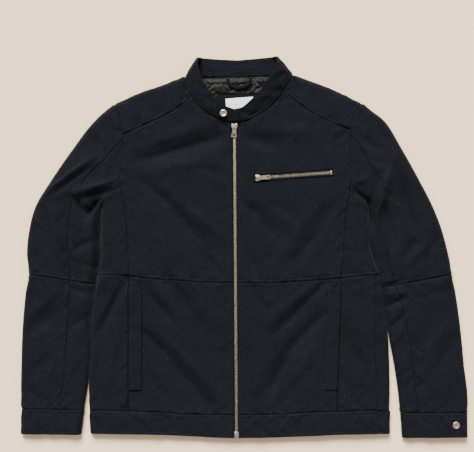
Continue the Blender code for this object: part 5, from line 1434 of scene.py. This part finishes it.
def woven(name, colour, wale, depth, rough, sheen, fuzz, gloss=0.06, slant=45.0):
    """Twill: slanting ribs one wale apart, a worn nap over them and a faint sheen."""
    made, tree, shader = new_material(name)
    place_of = node(tree, "ShaderNodeTexCoord").outputs["UV"]
    turned = node(
        tree, "ShaderNodeMapping",
        {"Vector": place_of, "Rotation": (0, 0, math.radians(slant))},
    ).outputs["Vector"]
    # The wave texture's bands are pi / 10 metres apart at a scale of 1.
    ribs = node(
        tree, "ShaderNodeTexWave",
        {"Vector": turned, "Scale": math.pi / 10 / (wale * MM), "Distortion": 0.6, "Detail": 1.0},
        wave_type="BANDS", bands_direction="X",
    ).outputs["Fac"]
    tone, patterns = four(colour, 0.8), {}
    # Scales are per metre. Columns: layer, scale, detail, where it starts, where it is full, its
    # strength there, its colour.
    for layer, scale, detail, low, high, full, over in (
        ("worn", 28.0, 5.0, 0.3, 0.7, 1.0, four(colour, 1.3)),
        ("nap", 900.0, 4.0, 0.45, 0.75, fuzz, four(colour, 2.6)),
        ("grain", 330.0, 2.0, 0.5, 0.75, 1.8 * fuzz, four(colour, 2.6)),
        ("lint", 380.0, 1.0, 0.74, 0.8, fuzz, LINT),
    ):
        patterns[layer] = node(
            tree, "ShaderNodeTexNoise", {"Vector": place_of, "Scale": scale, "Detail": detail}
        ).outputs["Fac"]
        strength = node(
            tree, "ShaderNodeMapRange",
            {"Value": patterns[layer], "From Min": low, "From Max": high, "To Max": full},
        ).outputs["Result"]
        tone = node(
            tree, "ShaderNodeMix", {0: strength, 6: tone, 7: over}, data_type="RGBA"
        ).outputs[2]
    low = node(tree, "ShaderNodeBump", {"Height": ribs, "Strength": 0.5, "Distance": depth * MM})
    high = node(
        tree, "ShaderNodeBump",
        {"Height": patterns["nap"], "Strength": 0.5, "Distance": depth * 1.5 * MM,
         "Normal": low.outputs["Normal"]},
    )
    dents = node(
        tree, "ShaderNodeTexNoise", {"Vector": place_of, "Scale": 150.0, "Detail": 3.0}
    ).outputs["Fac"]
    crumple = node(
        tree, "ShaderNodeBump",
        {"Height": dents, "Strength": 0.6, "Distance": 0.8 * MM, "Normal": high.outputs["Normal"]},
    )
    dull = node(
        tree, "ShaderNodeMapRange",
        {"Value": patterns["worn"], "To Min": rough - 0.06, "To Max": rough + 0.06},
    ).outputs["Result"]
    shade(tree, shader, {
        "Base Color": tone, "Roughness": dull, "Specular IOR Level": gloss, "Sheen Weight": sheen,
        "Sheen Roughness": 0.45, "Sheen Tint": SHEEN, "Normal": crumple.outputs["Normal"],
    })
    return made


def fabric(slot):
    """The cloth for a slot, made once."""
    found = bpy.data.materials.get(slot + "_look")
    if found:
        return found
    style = bpy.context.scene.jacket_cloth
    if slot == "navy_twill":
        # Peached cotton twill: gives a dark matt blue with a soft grey bloom on raised folds.
        return woven(slot + "_look", tuple(style.navy), style.wale, 0.12, 0.8, 0.04, 0.56)
    if slot == "lining":
        # Taupe lining: smoother and lighter, so its wrinkles catch the light.
        return woven(slot + "_look", tuple(style.lining), 0.35, 0.05, 0.5, 0.05, 0.05, 0.12)
    # White satin of the bare label: gives a clean bright patch with a faint thread.
    return woven(slot + "_look", tuple(style.label), 0.3, 0.04, 0.45, 0.1, 0.05, 0.3, 90.0)


def thread_look():
    """Twisted polyester thread, near-black and darker than the cloth: its dark colour partly stands for
    painted shade in the stitch holes, so the stitches read as a dark dotted line.
    """
    found = bpy.data.materials.get("thread_look")
    if found:
        return found
    style = bpy.context.scene.jacket_cloth
    made, tree, shader = new_material("thread_look")
    place_of = node(tree, "ShaderNodeTexCoord").outputs["Object"]
    ply = node(
        tree, "ShaderNodeTexWave", {"Vector": place_of, "Scale": 120.0, "Distortion": 1.0},
        bands_direction="DIAGONAL",
    ).outputs["Fac"]
    tone = node(
        tree, "ShaderNodeMix", {0: ply, 6: four(style.thread, 0.7), 7: four(style.thread, 1.4)},
        data_type="RGBA",
    ).outputs[2]
    shade(tree, shader, {"Base Color": tone, "Roughness": 0.55, "Specular IOR Level": 0.3})
    return made


def metal_look():
    """Pale nickel plate: bright and slightly warm, with fine wear in its gloss."""
    found = bpy.data.materials.get("nickel_look")
    if found:
        return found
    trim = bpy.context.scene.jacket_trim
    made, tree, shader = new_material("nickel_look")
    place_of = node(tree, "ShaderNodeTexCoord").outputs["Object"]
    wear, broad = (
        node(
            tree, "ShaderNodeTexNoise", {"Vector": place_of, "Scale": scale, "Detail": detail}
        ).outputs["Fac"]
        for scale, detail in ((400.0, 6.0), (60.0, 3.0))
    )
    tone = node(
        tree, "ShaderNodeMix", {0: broad, 6: four(trim.metal, 0.85), 7: four(trim.metal)},
        data_type="RGBA",
    ).outputs[2]
    bump = node(tree, "ShaderNodeBump", {"Height": wear, "Strength": 0.15, "Distance": 0.05 * MM})
    dull = node(
        tree, "ShaderNodeMapRange",
        {"Value": wear, "From Min": 0.35, "From Max": 0.65, "To Min": 0.22, "To Max": 0.42},
    ).outputs["Result"]
    shade(tree, shader, {
        "Base Color": tone, "Metallic": 1.0, "Roughness": dull, "Normal": bump.outputs["Normal"],
    })
    return made


# What repeats: stitches and teeth, by Geometry Nodes.


def path_mesh(name, lines):
    """Open lines as one mesh of edges, each point keeping its way up."""
    points, ups, edges = [], [], []
    for line, up in lines:
        edges += [(len(points) + i, len(points) + i + 1) for i in range(len(line) - 1)]
        points += [tuple(p * MM) for p in line]
        ups += [tuple(u) for u in up]
    mesh = bpy.data.meshes.new(name)
    mesh.from_pydata(points, edges, [])
    kept_up = mesh.attributes.new("up", "FLOAT_VECTOR", "POINT")
    kept_up.data.foreach_set("vector", np.array(ups, float).ravel())
    return mesh


def repeat_tree(name, alternate):
    """Instances of a shape at even steps along lines, turned to the line and its way up."""
    tree = bpy.data.node_groups.new(name, "GeometryNodeTree")
    face = tree.interface
    face.new_socket("Geometry", in_out="INPUT", socket_type="NodeSocketGeometry")
    face.new_socket("Shape", in_out="INPUT", socket_type="NodeSocketObject")
    face.new_socket("Step", in_out="INPUT", socket_type="NodeSocketFloat")
    face.new_socket("Surface", in_out="INPUT", socket_type="NodeSocketMaterial")
    face.new_socket("Geometry", in_out="OUTPUT", socket_type="NodeSocketGeometry")
    given = tree.nodes.new("NodeGroupInput").outputs
    curve = node(tree, "GeometryNodeMeshToCurve", {"Mesh": given["Geometry"]}).outputs["Curve"]
    even_curve = node(
        tree, "GeometryNodeResampleCurve", {"Curve": curve, "Length": given["Step"]}, mode="LENGTH"
    ).outputs["Curve"]
    points = node(
        tree, "GeometryNodeCurveToPoints", {"Curve": even_curve}, mode="EVALUATED"
    )
    up = node(tree, "GeometryNodeInputNamedAttribute", {"Name": "up"}, data_type="FLOAT_VECTOR")
    tangent = points.outputs["Tangent"]
    if alternate:
        index = tree.nodes.new("GeometryNodeInputIndex").outputs["Index"]
        odd = node(tree, "ShaderNodeMath", {0: index, 1: 2.0}, operation="MODULO")
        flip = node(
            tree, "ShaderNodeMapRange", {"Value": odd.outputs[0], "To Min": 1.0, "To Max": -1.0}
        ).outputs["Result"]
        scaled = node(tree, "ShaderNodeVectorMath", {0: tangent, "Scale": flip}, operation="SCALE")
        tangent = scaled.outputs[0]
    stored = node(
        tree, "GeometryNodeStoreNamedAttribute",
        {"Geometry": points.outputs["Points"], "Name": "way", "Value": tangent},
        data_type="FLOAT_VECTOR",
    )
    way = node(tree, "GeometryNodeInputNamedAttribute", {"Name": "way"}, data_type="FLOAT_VECTOR")
    turn = node(
        tree, "FunctionNodeAxesToRotation",
        {"Primary Axis": up.outputs["Attribute"], "Secondary Axis": way.outputs["Attribute"]},
        primary_axis="Z", secondary_axis="X",
    )
    shape = node(tree, "GeometryNodeObjectInfo", {"Object": given["Shape"]}).outputs["Geometry"]
    put = node(
        tree, "GeometryNodeInstanceOnPoints",
        {"Points": stored.outputs["Geometry"], "Instance": shape, "Rotation": turn.outputs["Rotation"]},
    ).outputs["Instances"]
    real = node(tree, "GeometryNodeRealizeInstances", {"Geometry": put}).outputs["Geometry"]
    done = node(
        tree, "GeometryNodeSetMaterial", {"Geometry": real, "Material": given["Surface"]}
    ).outputs["Geometry"]
    tree.links.new(done, tree.nodes.new("NodeGroupOutput").inputs["Geometry"])
    return tree


def repeated(name, lines, shape, step, surface, slot, *nodes, alternate=False):
    """The lines' repeated shapes as one plain mesh that rides on the jacket."""
    base = add(name + "_path", path_mesh(name + "_path", lines))
    modifier = base.modifiers.new("repeat", "NODES")
    modifier.node_group = repeat_tree(name + "_repeat", alternate)
    values = {"Shape": shape, "Step": step * MM, "Surface": surface}
    for item in modifier.node_group.interface.items_tree:
        if item.in_out == "INPUT" and item.name in values:
            modifier[item.identifier] = values[item.name]
    graph = bpy.context.evaluated_depsgraph_get()
    mesh = bpy.data.meshes.new_from_object(base.evaluated_get(graph), depsgraph=graph)
    mesh.name = name
    bpy.data.objects.remove(base, do_unlink=True)
    if len(mesh.polygons) == 0:
        raise RuntimeError(f"{name} came out empty")
    if not mesh.materials:
        mesh.materials.append(surface)
    mesh.shade_smooth()
    mesh.set_sharp_from_angle(angle=math.radians(50))
    return seat(add(name, mesh), slot, *nodes)


def template(name, build):
    """A shape for instancing, made by a function that fills a bmesh."""
    mesh = bmesh.new()
    build(mesh)
    data = bpy.data.meshes.new(name)
    mesh.to_mesh(data)
    mesh.free()
    data.shade_smooth()
    return add(name, data)


def stitch_shape(mesh):
    trim = bpy.context.scene.jacket_trim
    bmesh.ops.create_icosphere(mesh, subdivisions=1, radius=1.0)
    size = (trim.stitch / 2 * MM, trim.thread / 2 * MM, trim.thread * 0.42 * MM)
    bmesh.ops.scale(mesh, vec=size, verts=mesh.verts)


def tooth_shape(mesh):
    """One tooth of a metal zip: a bevelled block whose head passes the middle line."""
    bmesh.ops.create_cube(mesh, size=1.0)
    bmesh.ops.scale(mesh, vec=[size * MM for size in TOOTH_SIZE], verts=mesh.verts)
    bmesh.ops.translate(mesh, vec=(0, TOOTH_SHIFT * MM, 0), verts=mesh.verts)
    bmesh.ops.bevel(
        mesh, geom=mesh.edges[:], offset=TOOTH_ROUND * MM, segments=2, profile=0.6, affect="EDGES"
    )


def offset_line(name, side, distance, start, end):
    """A line on a finished piece, one distance in from one of its sides."""
    points, ways = SHAPES[name]
    if side in ("top", "bottom"):
        points, ways = points.swapaxes(0, 1), ways.swapaxes(0, 1)
    if side in ("bottom", "right"):
        points, ways = points[:, ::-1], ways[:, ::-1]
    line, up = [], []
    for row, way in zip(points, ways):
        run = lengths(row)
        if run[-1] < distance * 2:
            continue
        line.append([np.interp(distance, run, row[:, c]) for c in range(3)])
        up.append([np.interp(distance, run, way[:, c]) for c in range(3)])
    line, up = np.array(line), unit(np.array(up))
    run = lengths(line)
    keep = (run >= start) & (run <= run[-1] - end)
    return line[keep] + STITCH_LIFT * up[keep], up[keep]


# Topstitching. Columns: piece, side of its grid, distance in, left out at start and end.
STITCHES = [
    ("yoke_{}", "bottom", LAP, 1, 1),
    ("yoke_{}", "left", LAP, 6, 1),
    ("front_upper_{}", "left", LAP, 1, 1),
    ("front_upper_{}", "bottom", LAP, 1, 3),
    ("front_upper_{}", "right", ZIP_STITCH, 2, 1),
    ("side_upper_{}", "top", LAP, 2, 8),
    ("side_upper_{}", "bottom", LAP, 6, 1),
    ("side_lower_{}", "right", LAP, 1, 1),
    ("front_lower_{}", "right", ZIP_STITCH, 1, 1),
    ("hem_front_{}", "right", ZIP_STITCH, 1, 1),
    ("hem_front_{}", "top", LAP, 6, 3),
    ("hem_front_{}", "bottom", EDGE_STITCH, 6, 3),
    ("sleeve_inner_upper_{}", "left", LAP, 4, 1),
    ("sleeve_inner_lower_{}", "left", LAP, 1, 1),
    ("sleeve_outer_upper_{}", "bottom", LAP, 1, 1),
    ("sleeve_inner_upper_{}", "bottom", LAP, 1, 1),
    ("cuff_{}", "top", LAP, 0, 0),
    ("cuff_{}", "bottom", EDGE_STITCH, 0, 0),
    ("pocket_welt_{}", "left", 2.2, 2, 2),
    ("pocket_welt_{}", "right", 2.2, 2, 2),
    ("pocket_welt_{}", "top", 2.4, 1, 1),
    ("pocket_welt_{}", "bottom", 2.4, 1, 1),
]
SINGLE_STITCHES = [
    ("back_upper", "bottom", LAP, 8, 8),
    ("hem_back", "top", LAP, 8, 8),
    ("hem_back", "bottom", EDGE_STITCH, 8, 8),
    ("collar", "top", LAP, 2, 2),
    ("collar", "bottom", EDGE_STITCH, 2, 2),
    ("collar_tab", "left", 3.0, 0, 0),
    ("collar_tab", "right", 3.0, 0, 0),
    ("collar_tab", "top", 3.0, 3, 3),
    ("neck_label", "left", 1.6, 1, 1),
    ("neck_label", "right", 1.6, 1, 1),
    ("neck_facing", "top", 3.0, 1, 1),
]


def window_stitches():
    """A closed line of stitches round the chest window."""
    middle = np.mean(CHEST_WINDOW, axis=0)
    corners = []
    for corner in CHEST_WINDOW:
        corners.append(tuple(corner + WINDOW_LAP * np.sign(corner - middle)))
    line = np.vstack([np.linspace(a, b, 60) for a, b in zip(corners, corners[1:] + corners[:1])])
    points, ways = skin(line[:, None], 1)
    return points[:, 0] + STITCH_LIFT * ways[:, 0], ways[:, 0]


def topstitch():
    lines = []
    for side in ("right", "left"):
        for name, edge, distance, start, end in STITCHES:
            lines.append(offset_line(name.format(side), edge, distance, start, end))
    for name, edge, distance, start, end in SINGLE_STITCHES:
        lines.append(offset_line(name, edge, distance, start, end))
    lines = [line for line in lines if len(line[0]) > 2] + [window_stitches()]
    shape = template("stitch_shape", stitch_shape)
    trim = bpy.context.scene.jacket_trim
    repeated("topstitching", lines, shape, trim.stitch_pitch, thread_look(), "navy_twill")
    bpy.data.objects.remove(shape, do_unlink=True)


# Zips and snaps.


def skin_height(x, y):
    points, _ = skin(np.array([[[x, y]]], float), 1)
    return float(points[0, 0, 2])


def chains():
    """The teeth of both zips, each chain a run of teeth from alternate sides."""
    trim = bpy.context.scene.jacket_trim
    foot = ZIP_TOP[1] - SLIDER_LENGTH + SLIDER_UP
    ys = np.linspace(foot + 1.0, BOX_TOP + 1.0, 120)
    front = np.stack([zip_x(ys), ys], axis=1)
    start, end = np.array(CHEST_ZIP, float)
    way = unit(end - start)
    last = end - (STOP_LENGTH + CHEST_TEETH_STOP) * way
    chest = np.linspace(start + CHEST_TEETH_FROM * way, last, 40)
    shape = template("tooth_shape", tooth_shape)
    for name, line, chain in (
        ("zip_teeth", front, "zip_chain"), ("chest_teeth", chest, "chest_chain"),
    ):
        points, _ = skin(line[:, None], 1)
        points = points[:, 0] + (0, 0, (CHAIN_LOW + CHAIN_HIGH) / 2)
        up = np.zeros_like(points) + (0, 0, 1)
        repeated(
            name, [(points, up)], shape, trim.tooth_pitch / 2, metal_look(), "nickel", chain,
            alternate=True,
        )
    bpy.data.objects.remove(shape, do_unlink=True)


def cut(made, outlines, low, high, at=(0, 0, 0), turn=0.0):
    """Cut upright prisms, given as outlines in plan, out of a finished piece."""
    work = bmesh.new()
    for outline in outlines:
        foot, head = (
            [work.verts.new((x * MM, y * MM, z * MM)) for x, y in outline] for z in (low, high)
        )
        work.faces.new(foot)
        work.faces.new(head)
        for i in range(len(outline)):
            n = (i + 1) % len(outline)
            work.faces.new((foot[i], foot[n], head[n], head[i]))
    bmesh.ops.recalc_face_normals(work, faces=work.faces)
    matrix = Matrix.Translation(Vector(at) * MM) @ Matrix.Rotation(turn, 4, "Z")
    bmesh.ops.transform(work, matrix=matrix, verts=work.verts)
    data = bpy.data.meshes.new("cutter")
    work.to_mesh(data)
    work.free()
    data.materials.append(made.data.materials[0])
    cutter = add("cutter", data)
    modifier = made.modifiers.new("cut", "BOOLEAN")
    modifier.object = cutter
    modifier.operation = "DIFFERENCE"
    settle(made)
    bpy.data.objects.remove(cutter, do_unlink=True)


def settle(made):
    """Turn an object's modifiers into plain mesh."""
    graph = bpy.context.evaluated_depsgraph_get()
    done = bpy.data.meshes.new_from_object(made.evaluated_get(graph), depsgraph=graph)
    made.modifiers.clear()
    made.data = done


def slider_places():
    """Each slider's foot and the turn of its crown."""
    foot = ZIP_TOP[1] - SLIDER_LENGTH + SLIDER_UP
    start, end = np.array(CHEST_ZIP, float)
    way = unit(end - start)
    chest = start + CHEST_SLIDER_AT * way
    front = (float(zip_x(foot)), foot)
    return {
        "zip_slider": ((*front, skin_height(*front)),
                       math.atan2(ZIP_FOOT[0] - ZIP_TOP[0], ZIP_TOP[1] - ZIP_FOOT[1])),
        "chest_slider": ((*chest, skin_height(*chest)), math.radians(90) + math.atan2(way[1], way[0])),
    }


def rounded_copy(name, body, width):
    """A hard node's own form with its edges rounded."""
    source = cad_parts[name]
    source = bpy.data.objects[source] if isinstance(source, str) else source
    work = bmesh.new()
    work.from_mesh(source.data)
    bmesh.ops.remove_doubles(work, verts=work.verts, dist=1e-6)
    bmesh.ops.dissolve_limit(work, angle_limit=math.radians(2), verts=work.verts, edges=work.edges)
    data = bpy.data.meshes.new(name + "_metal")
    work.to_mesh(data)
    work.free()
    data.materials.clear()
    data.materials.append(metal_look())
    made = add(name + "_metal", data)
    places = slider_places()
    if name in places:
        cut(made, CROWN_CUTS, -3.0, 8.0, *places[name])
    bevel = made.modifiers.new("round", "BEVEL")
    bevel.width = width * MM
    bevel.segments = 2
    bevel.limit_method = "ANGLE"
    bevel.angle_limit = math.radians(35)
    settle(made)
    made.data.shade_smooth()
    made.data.set_sharp_from_angle(angle=math.radians(40))
    return seat(made, "nickel", name, body=body)


def turned_snap(name, at, way):
    """A snap's cap: a rounded rim round a shallow dished centre."""
    work = bmesh.new()
    ring = [
        work.verts.new(((SNAP_RADIUS - inset) * MM, 0, height * MM)) for inset, height in SNAP_PROFILE
    ]
    edges = [work.edges.new(pair) for pair in zip(ring[:-1], ring[1:])]
    bmesh.ops.spin(
        work, geom=ring + edges, cent=(0, 0, 0), axis=(0, 0, 1), angle=2 * math.pi, steps=48,
        use_merge=True,
    )
    bmesh.ops.remove_doubles(work, verts=work.verts, dist=1e-6)
    bmesh.ops.recalc_face_normals(work, faces=work.faces)
    turn = Vector(way).to_track_quat("Z", "Y").to_matrix().to_4x4()
    bmesh.ops.transform(work, matrix=turn, verts=work.verts)
    bmesh.ops.translate(work, vec=Vector(at) * MM, verts=work.verts)
    data = bpy.data.meshes.new(name + "_metal")
    work.to_mesh(data)
    work.free()
    data.materials.append(metal_look())
    data.shade_smooth()
    data.set_sharp_from_angle(angle=math.radians(60))
    return seat(add(name + "_metal", data), "nickel", name)


def chest_tape():
    start, end = np.array(CHEST_ZIP, float)
    way = unit(end - start)
    across = np.array([-way[1], way[0]])
    line = np.linspace(start - CHEST_TAPE_PAST * way, end + CHEST_TAPE_PAST * way, 60)
    grid = line[:, None] + np.linspace(-CHEST_TAPE_HALF, CHEST_TAPE_HALF, 41)[None, :, None] * across
    points, _ = skin(grid, 1)
    middle, _ = skin(line[:, None], 1)
    raised = TAPE_RAISE * smooth_step((-window_distance(grid) - 0.5) / 1.4)
    points[..., 2] = middle[:, :, 2] - CLOTH - TAPE_DROP + raised
    normals = np.zeros_like(points) + (0, 0, 1)
    cloth("chest_tape", points, normals, ("bare",) * 4, thick=TAPE_WALL, inside="navy_twill",
          rests=["front_upper_left"])


# Settings a user would change.


def colour(name, description, code):
    return FloatVectorProperty(
        name=name, description=description, subtype="COLOR", default=linear(code), min=0, max=1
    )


def amount(name, description, default, low, high, unit="NONE"):
    return FloatProperty(
        name=name, description=description, default=default, min=low, max=high, unit=unit
    )


class JacketCloth(bpy.types.PropertyGroup):
    navy: colour("Navy", "Colour of the shell", "#0b0c10")
    lining: colour("Lining", "Colour of the lining", "#0f0e0d")
    label: colour("Label", "Colour of the neck label", "#fbfbfd")
    # Near-black: the thread's own dark colour together with painted shade of the stitch holes.
    thread: colour("Thread", "Colour of the topstitching", "#060608")
    wale: amount("Wale", "Distance between two ribs of the twill, in mm", 0.6, 0.2, 3)
    crease: amount("Creases", "Strength of the creases", 1.5, 0, 2)
    unevenness: amount("Unevenness", "Strength of the soft unevenness", 1.0, 0, 2)
    pucker: amount("Puckers", "Strength of the puckers by the seams", 1.0, 0, 2)


class JacketTrim(bpy.types.PropertyGroup):
    metal: colour("Metal", "Colour of the zips and snaps", "#b9ab94")
    tooth_pitch: amount("Tooth pitch", "Distance between teeth on one tape, in mm", 2.9, 1, 6)
    stitch_pitch: amount("Stitch pitch", "Distance between stitches, in mm", 3.2, 1, 8)
    stitch: amount("Stitch length", "Length of a stitch, in mm", 2.4, 0.5, 8)
    thread: amount("Thread width", "Width of the thread, in mm", 0.55, 0.1, 2)


class JacketStage(bpy.types.PropertyGroup):
    floor: colour("Floor", "Colour of the floor", "#f7dab6")
    height: amount("Camera height", "Height of the camera over the floor", 2.2, 0.5, 10, "LENGTH")
    key: amount("Key light", "Strength of the main light", 9.6, 0, 100)


# Operators.

KNOTS = {}  # the seams' knots, kept from the body panels for the pieces sewn to them


class JACKET_OT_body(bpy.types.Operator):
    """Make the fronts, sides, yokes, back and hem bands"""

    bl_idname = "jacket.body"
    bl_label = "Body panels"

    def execute(self, context):
        for side in ("right", "left"):
            KNOTS[side], outer, hem_outer = front_panels(side)
        KNOTS["neck"] = back_panels(KNOTS["right"], KNOTS["left"], outer, hem_outer)
        cut(bpy.data.objects["front_upper_left_cloth"], [CHEST_WINDOW], 8.0, 40.0)
        return {"FINISHED"}


class JACKET_OT_sleeves(bpy.types.Operator):
    """Make both sleeves and their cuffs"""

    bl_idname = "jacket.sleeves"
    bl_label = "Sleeves"

    def execute(self, context):
        for side in ("right", "left"):
            sleeves(side)
        return {"FINISHED"}


class JACKET_OT_collar(bpy.types.Operator):
    """Make the collar band and its tab"""

    bl_idname = "jacket.collar"
    bl_label = "Collar"

    def execute(self, context):
        collar(KNOTS["right"], KNOTS["left"], KNOTS["neck"])
        return {"FINISHED"}


class JACKET_OT_pockets(bpy.types.Operator):
    """Make the pocket welts and the zip tapes"""

    bl_idname = "jacket.pockets"
    bl_label = "Pockets and tapes"

    def execute(self, context):
        for side in ("right", "left"):
            welts(side, KNOTS[side])
            zip_tapes(side)
        chest_tape()
        return {"FINISHED"}


class JACKET_OT_neck(bpy.types.Operator):
    """Make what shows inside the neck"""

    bl_idname = "jacket.neck"
    bl_label = "Inside the neck"

    def execute(self, context):
        for plate in NECK_PLATES:
            neck_plate(*plate)
        hanger_loop()
        return {"FINISHED"}


class JACKET_OT_zips(bpy.types.Operator):
    """Make the teeth, sliders, pulls, box and stop of both zips"""

    bl_idname = "jacket.zips"
    bl_label = "Zips"

    def execute(self, context):
        chains()
        for piece in HARDWARE:
            rounded_copy(*piece)
        return {"FINISHED"}


class JACKET_OT_snaps(bpy.types.Operator):
    """Make the tab's snap and the cuff's snap"""

    bl_idname = "jacket.snaps"
    bl_label = "Snaps"

    def execute(self, context):
        at, way = SHAPES["tab_snap_at"]
        turned_snap("tab_snap", at + SNAP_LIFT * way, way)
        turned_snap("cuff_snap", (*CUFF_SNAP, skin_height(*CUFF_SNAP) + SNAP_LIFT), (0, 0, 1))
        return {"FINISHED"}


class JACKET_OT_topstitch(bpy.types.Operator):
    """Sew the topstitching along the seams and edges"""

    bl_idname = "jacket.topstitch"
    bl_label = "Topstitching"

    def execute(self, context):
        topstitch()
        return {"FINISHED"}


class JACKET_OT_stage(bpy.types.Operator):
    """Lay the floor and set the lights and the camera"""

    bl_idname = "jacket.stage"
    bl_label = "Stage"

    def execute(self, context):
        stage()
        return {"FINISHED"}


def stage():
    style = bpy.context.scene.jacket_stage
    made, tree, shader = new_material("floor_look")
    # Plain matt pale floor: gives a cream ground with a barely seen grain.
    place_of = node(tree, "ShaderNodeTexCoord").outputs["Object"]
    grain = node(
        tree, "ShaderNodeTexNoise", {"Vector": place_of, "Scale": 14.0, "Detail": 4.0}
    ).outputs["Fac"]
    tone = node(
        tree, "ShaderNodeMix", {0: grain, 6: four(style.floor, 0.97), 7: four(style.floor, 1.02)},
        data_type="RGBA",
    ).outputs[2]
    shade(tree, shader, {"Base Color": tone, "Roughness": 0.9, "Specular IOR Level": 0.1})
    mesh = bpy.data.meshes.new("floor")
    plan = ((-1, -1), (1, -1), (1, 1), (-1, 1))
    corners = [(x * FLOOR_HALF, y * FLOOR_HALF, -FLOOR_GAP) for x, y in plan]
    mesh.from_pydata(corners, [], [(0, 1, 2, 3)])
    mesh.materials.append(made)
    add("floor", mesh)

    world = bpy.data.worlds.new("soft light")
    world.use_nodes = True
    background = world.node_tree.nodes["Background"]
    background.inputs["Color"].default_value = SKY_COLOUR
    background.inputs["Strength"].default_value = SKY
    bpy.context.scene.world = world
    light = bpy.data.lights.new("key", "SUN")
    light.energy = style.key
    light.angle = math.radians(KEY_SPREAD)
    lamp = add("key", light)
    lamp.rotation_euler = (-Vector(KEY_FROM)).to_track_quat("-Z", "Y").to_euler()

    camera = bpy.data.cameras.new("camera")
    camera.sensor_width = SENSOR
    camera.lens = SENSOR * (style.height - PHOTO_LEVEL) / PHOTO_WIDTH
    made_camera = add("camera", camera)
    made_camera.location = (*CAMERA_AT, style.height)
    bpy.context.scene.camera = made_camera


class JACKET_PT_panel(bpy.types.Panel):
    bl_idname = "JACKET_PT_panel"
    bl_label = "Biker jacket"
    bl_space_type = "VIEW_3D"
    bl_region_type = "UI"
    bl_category = "Jacket"

    def draw(self, context):
        for group in (context.scene.jacket_cloth, context.scene.jacket_trim, context.scene.jacket_stage):
            for name in group.__annotations__:
                self.layout.prop(group, name)
        for made in OPERATORS:
            self.layout.operator(made.bl_idname)


OPERATORS = (
    JACKET_OT_body, JACKET_OT_sleeves, JACKET_OT_collar, JACKET_OT_pockets, JACKET_OT_neck,
    JACKET_OT_zips, JACKET_OT_snaps, JACKET_OT_topstitch, JACKET_OT_stage,
)
GROUPS = {"jacket_cloth": JacketCloth, "jacket_trim": JacketTrim, "jacket_stage": JacketStage}


def register():
    for made in (*GROUPS.values(), *OPERATORS, JACKET_PT_panel):
        bpy.utils.register_class(made)
    for name, group in GROUPS.items():
        setattr(bpy.types.Scene, name, PointerProperty(type=group))


def unregister():
    for name in GROUPS:
        delattr(bpy.types.Scene, name)
    for made in (JACKET_PT_panel, *OPERATORS[::-1], *GROUPS.values()):
        bpy.utils.unregister_class(made)


def main():
    register()
    for made in OPERATORS:
        group, name = made.bl_idname.split(".")
        getattr(getattr(bpy.ops, group), name)()


if __name__ == "__main__":
    main()
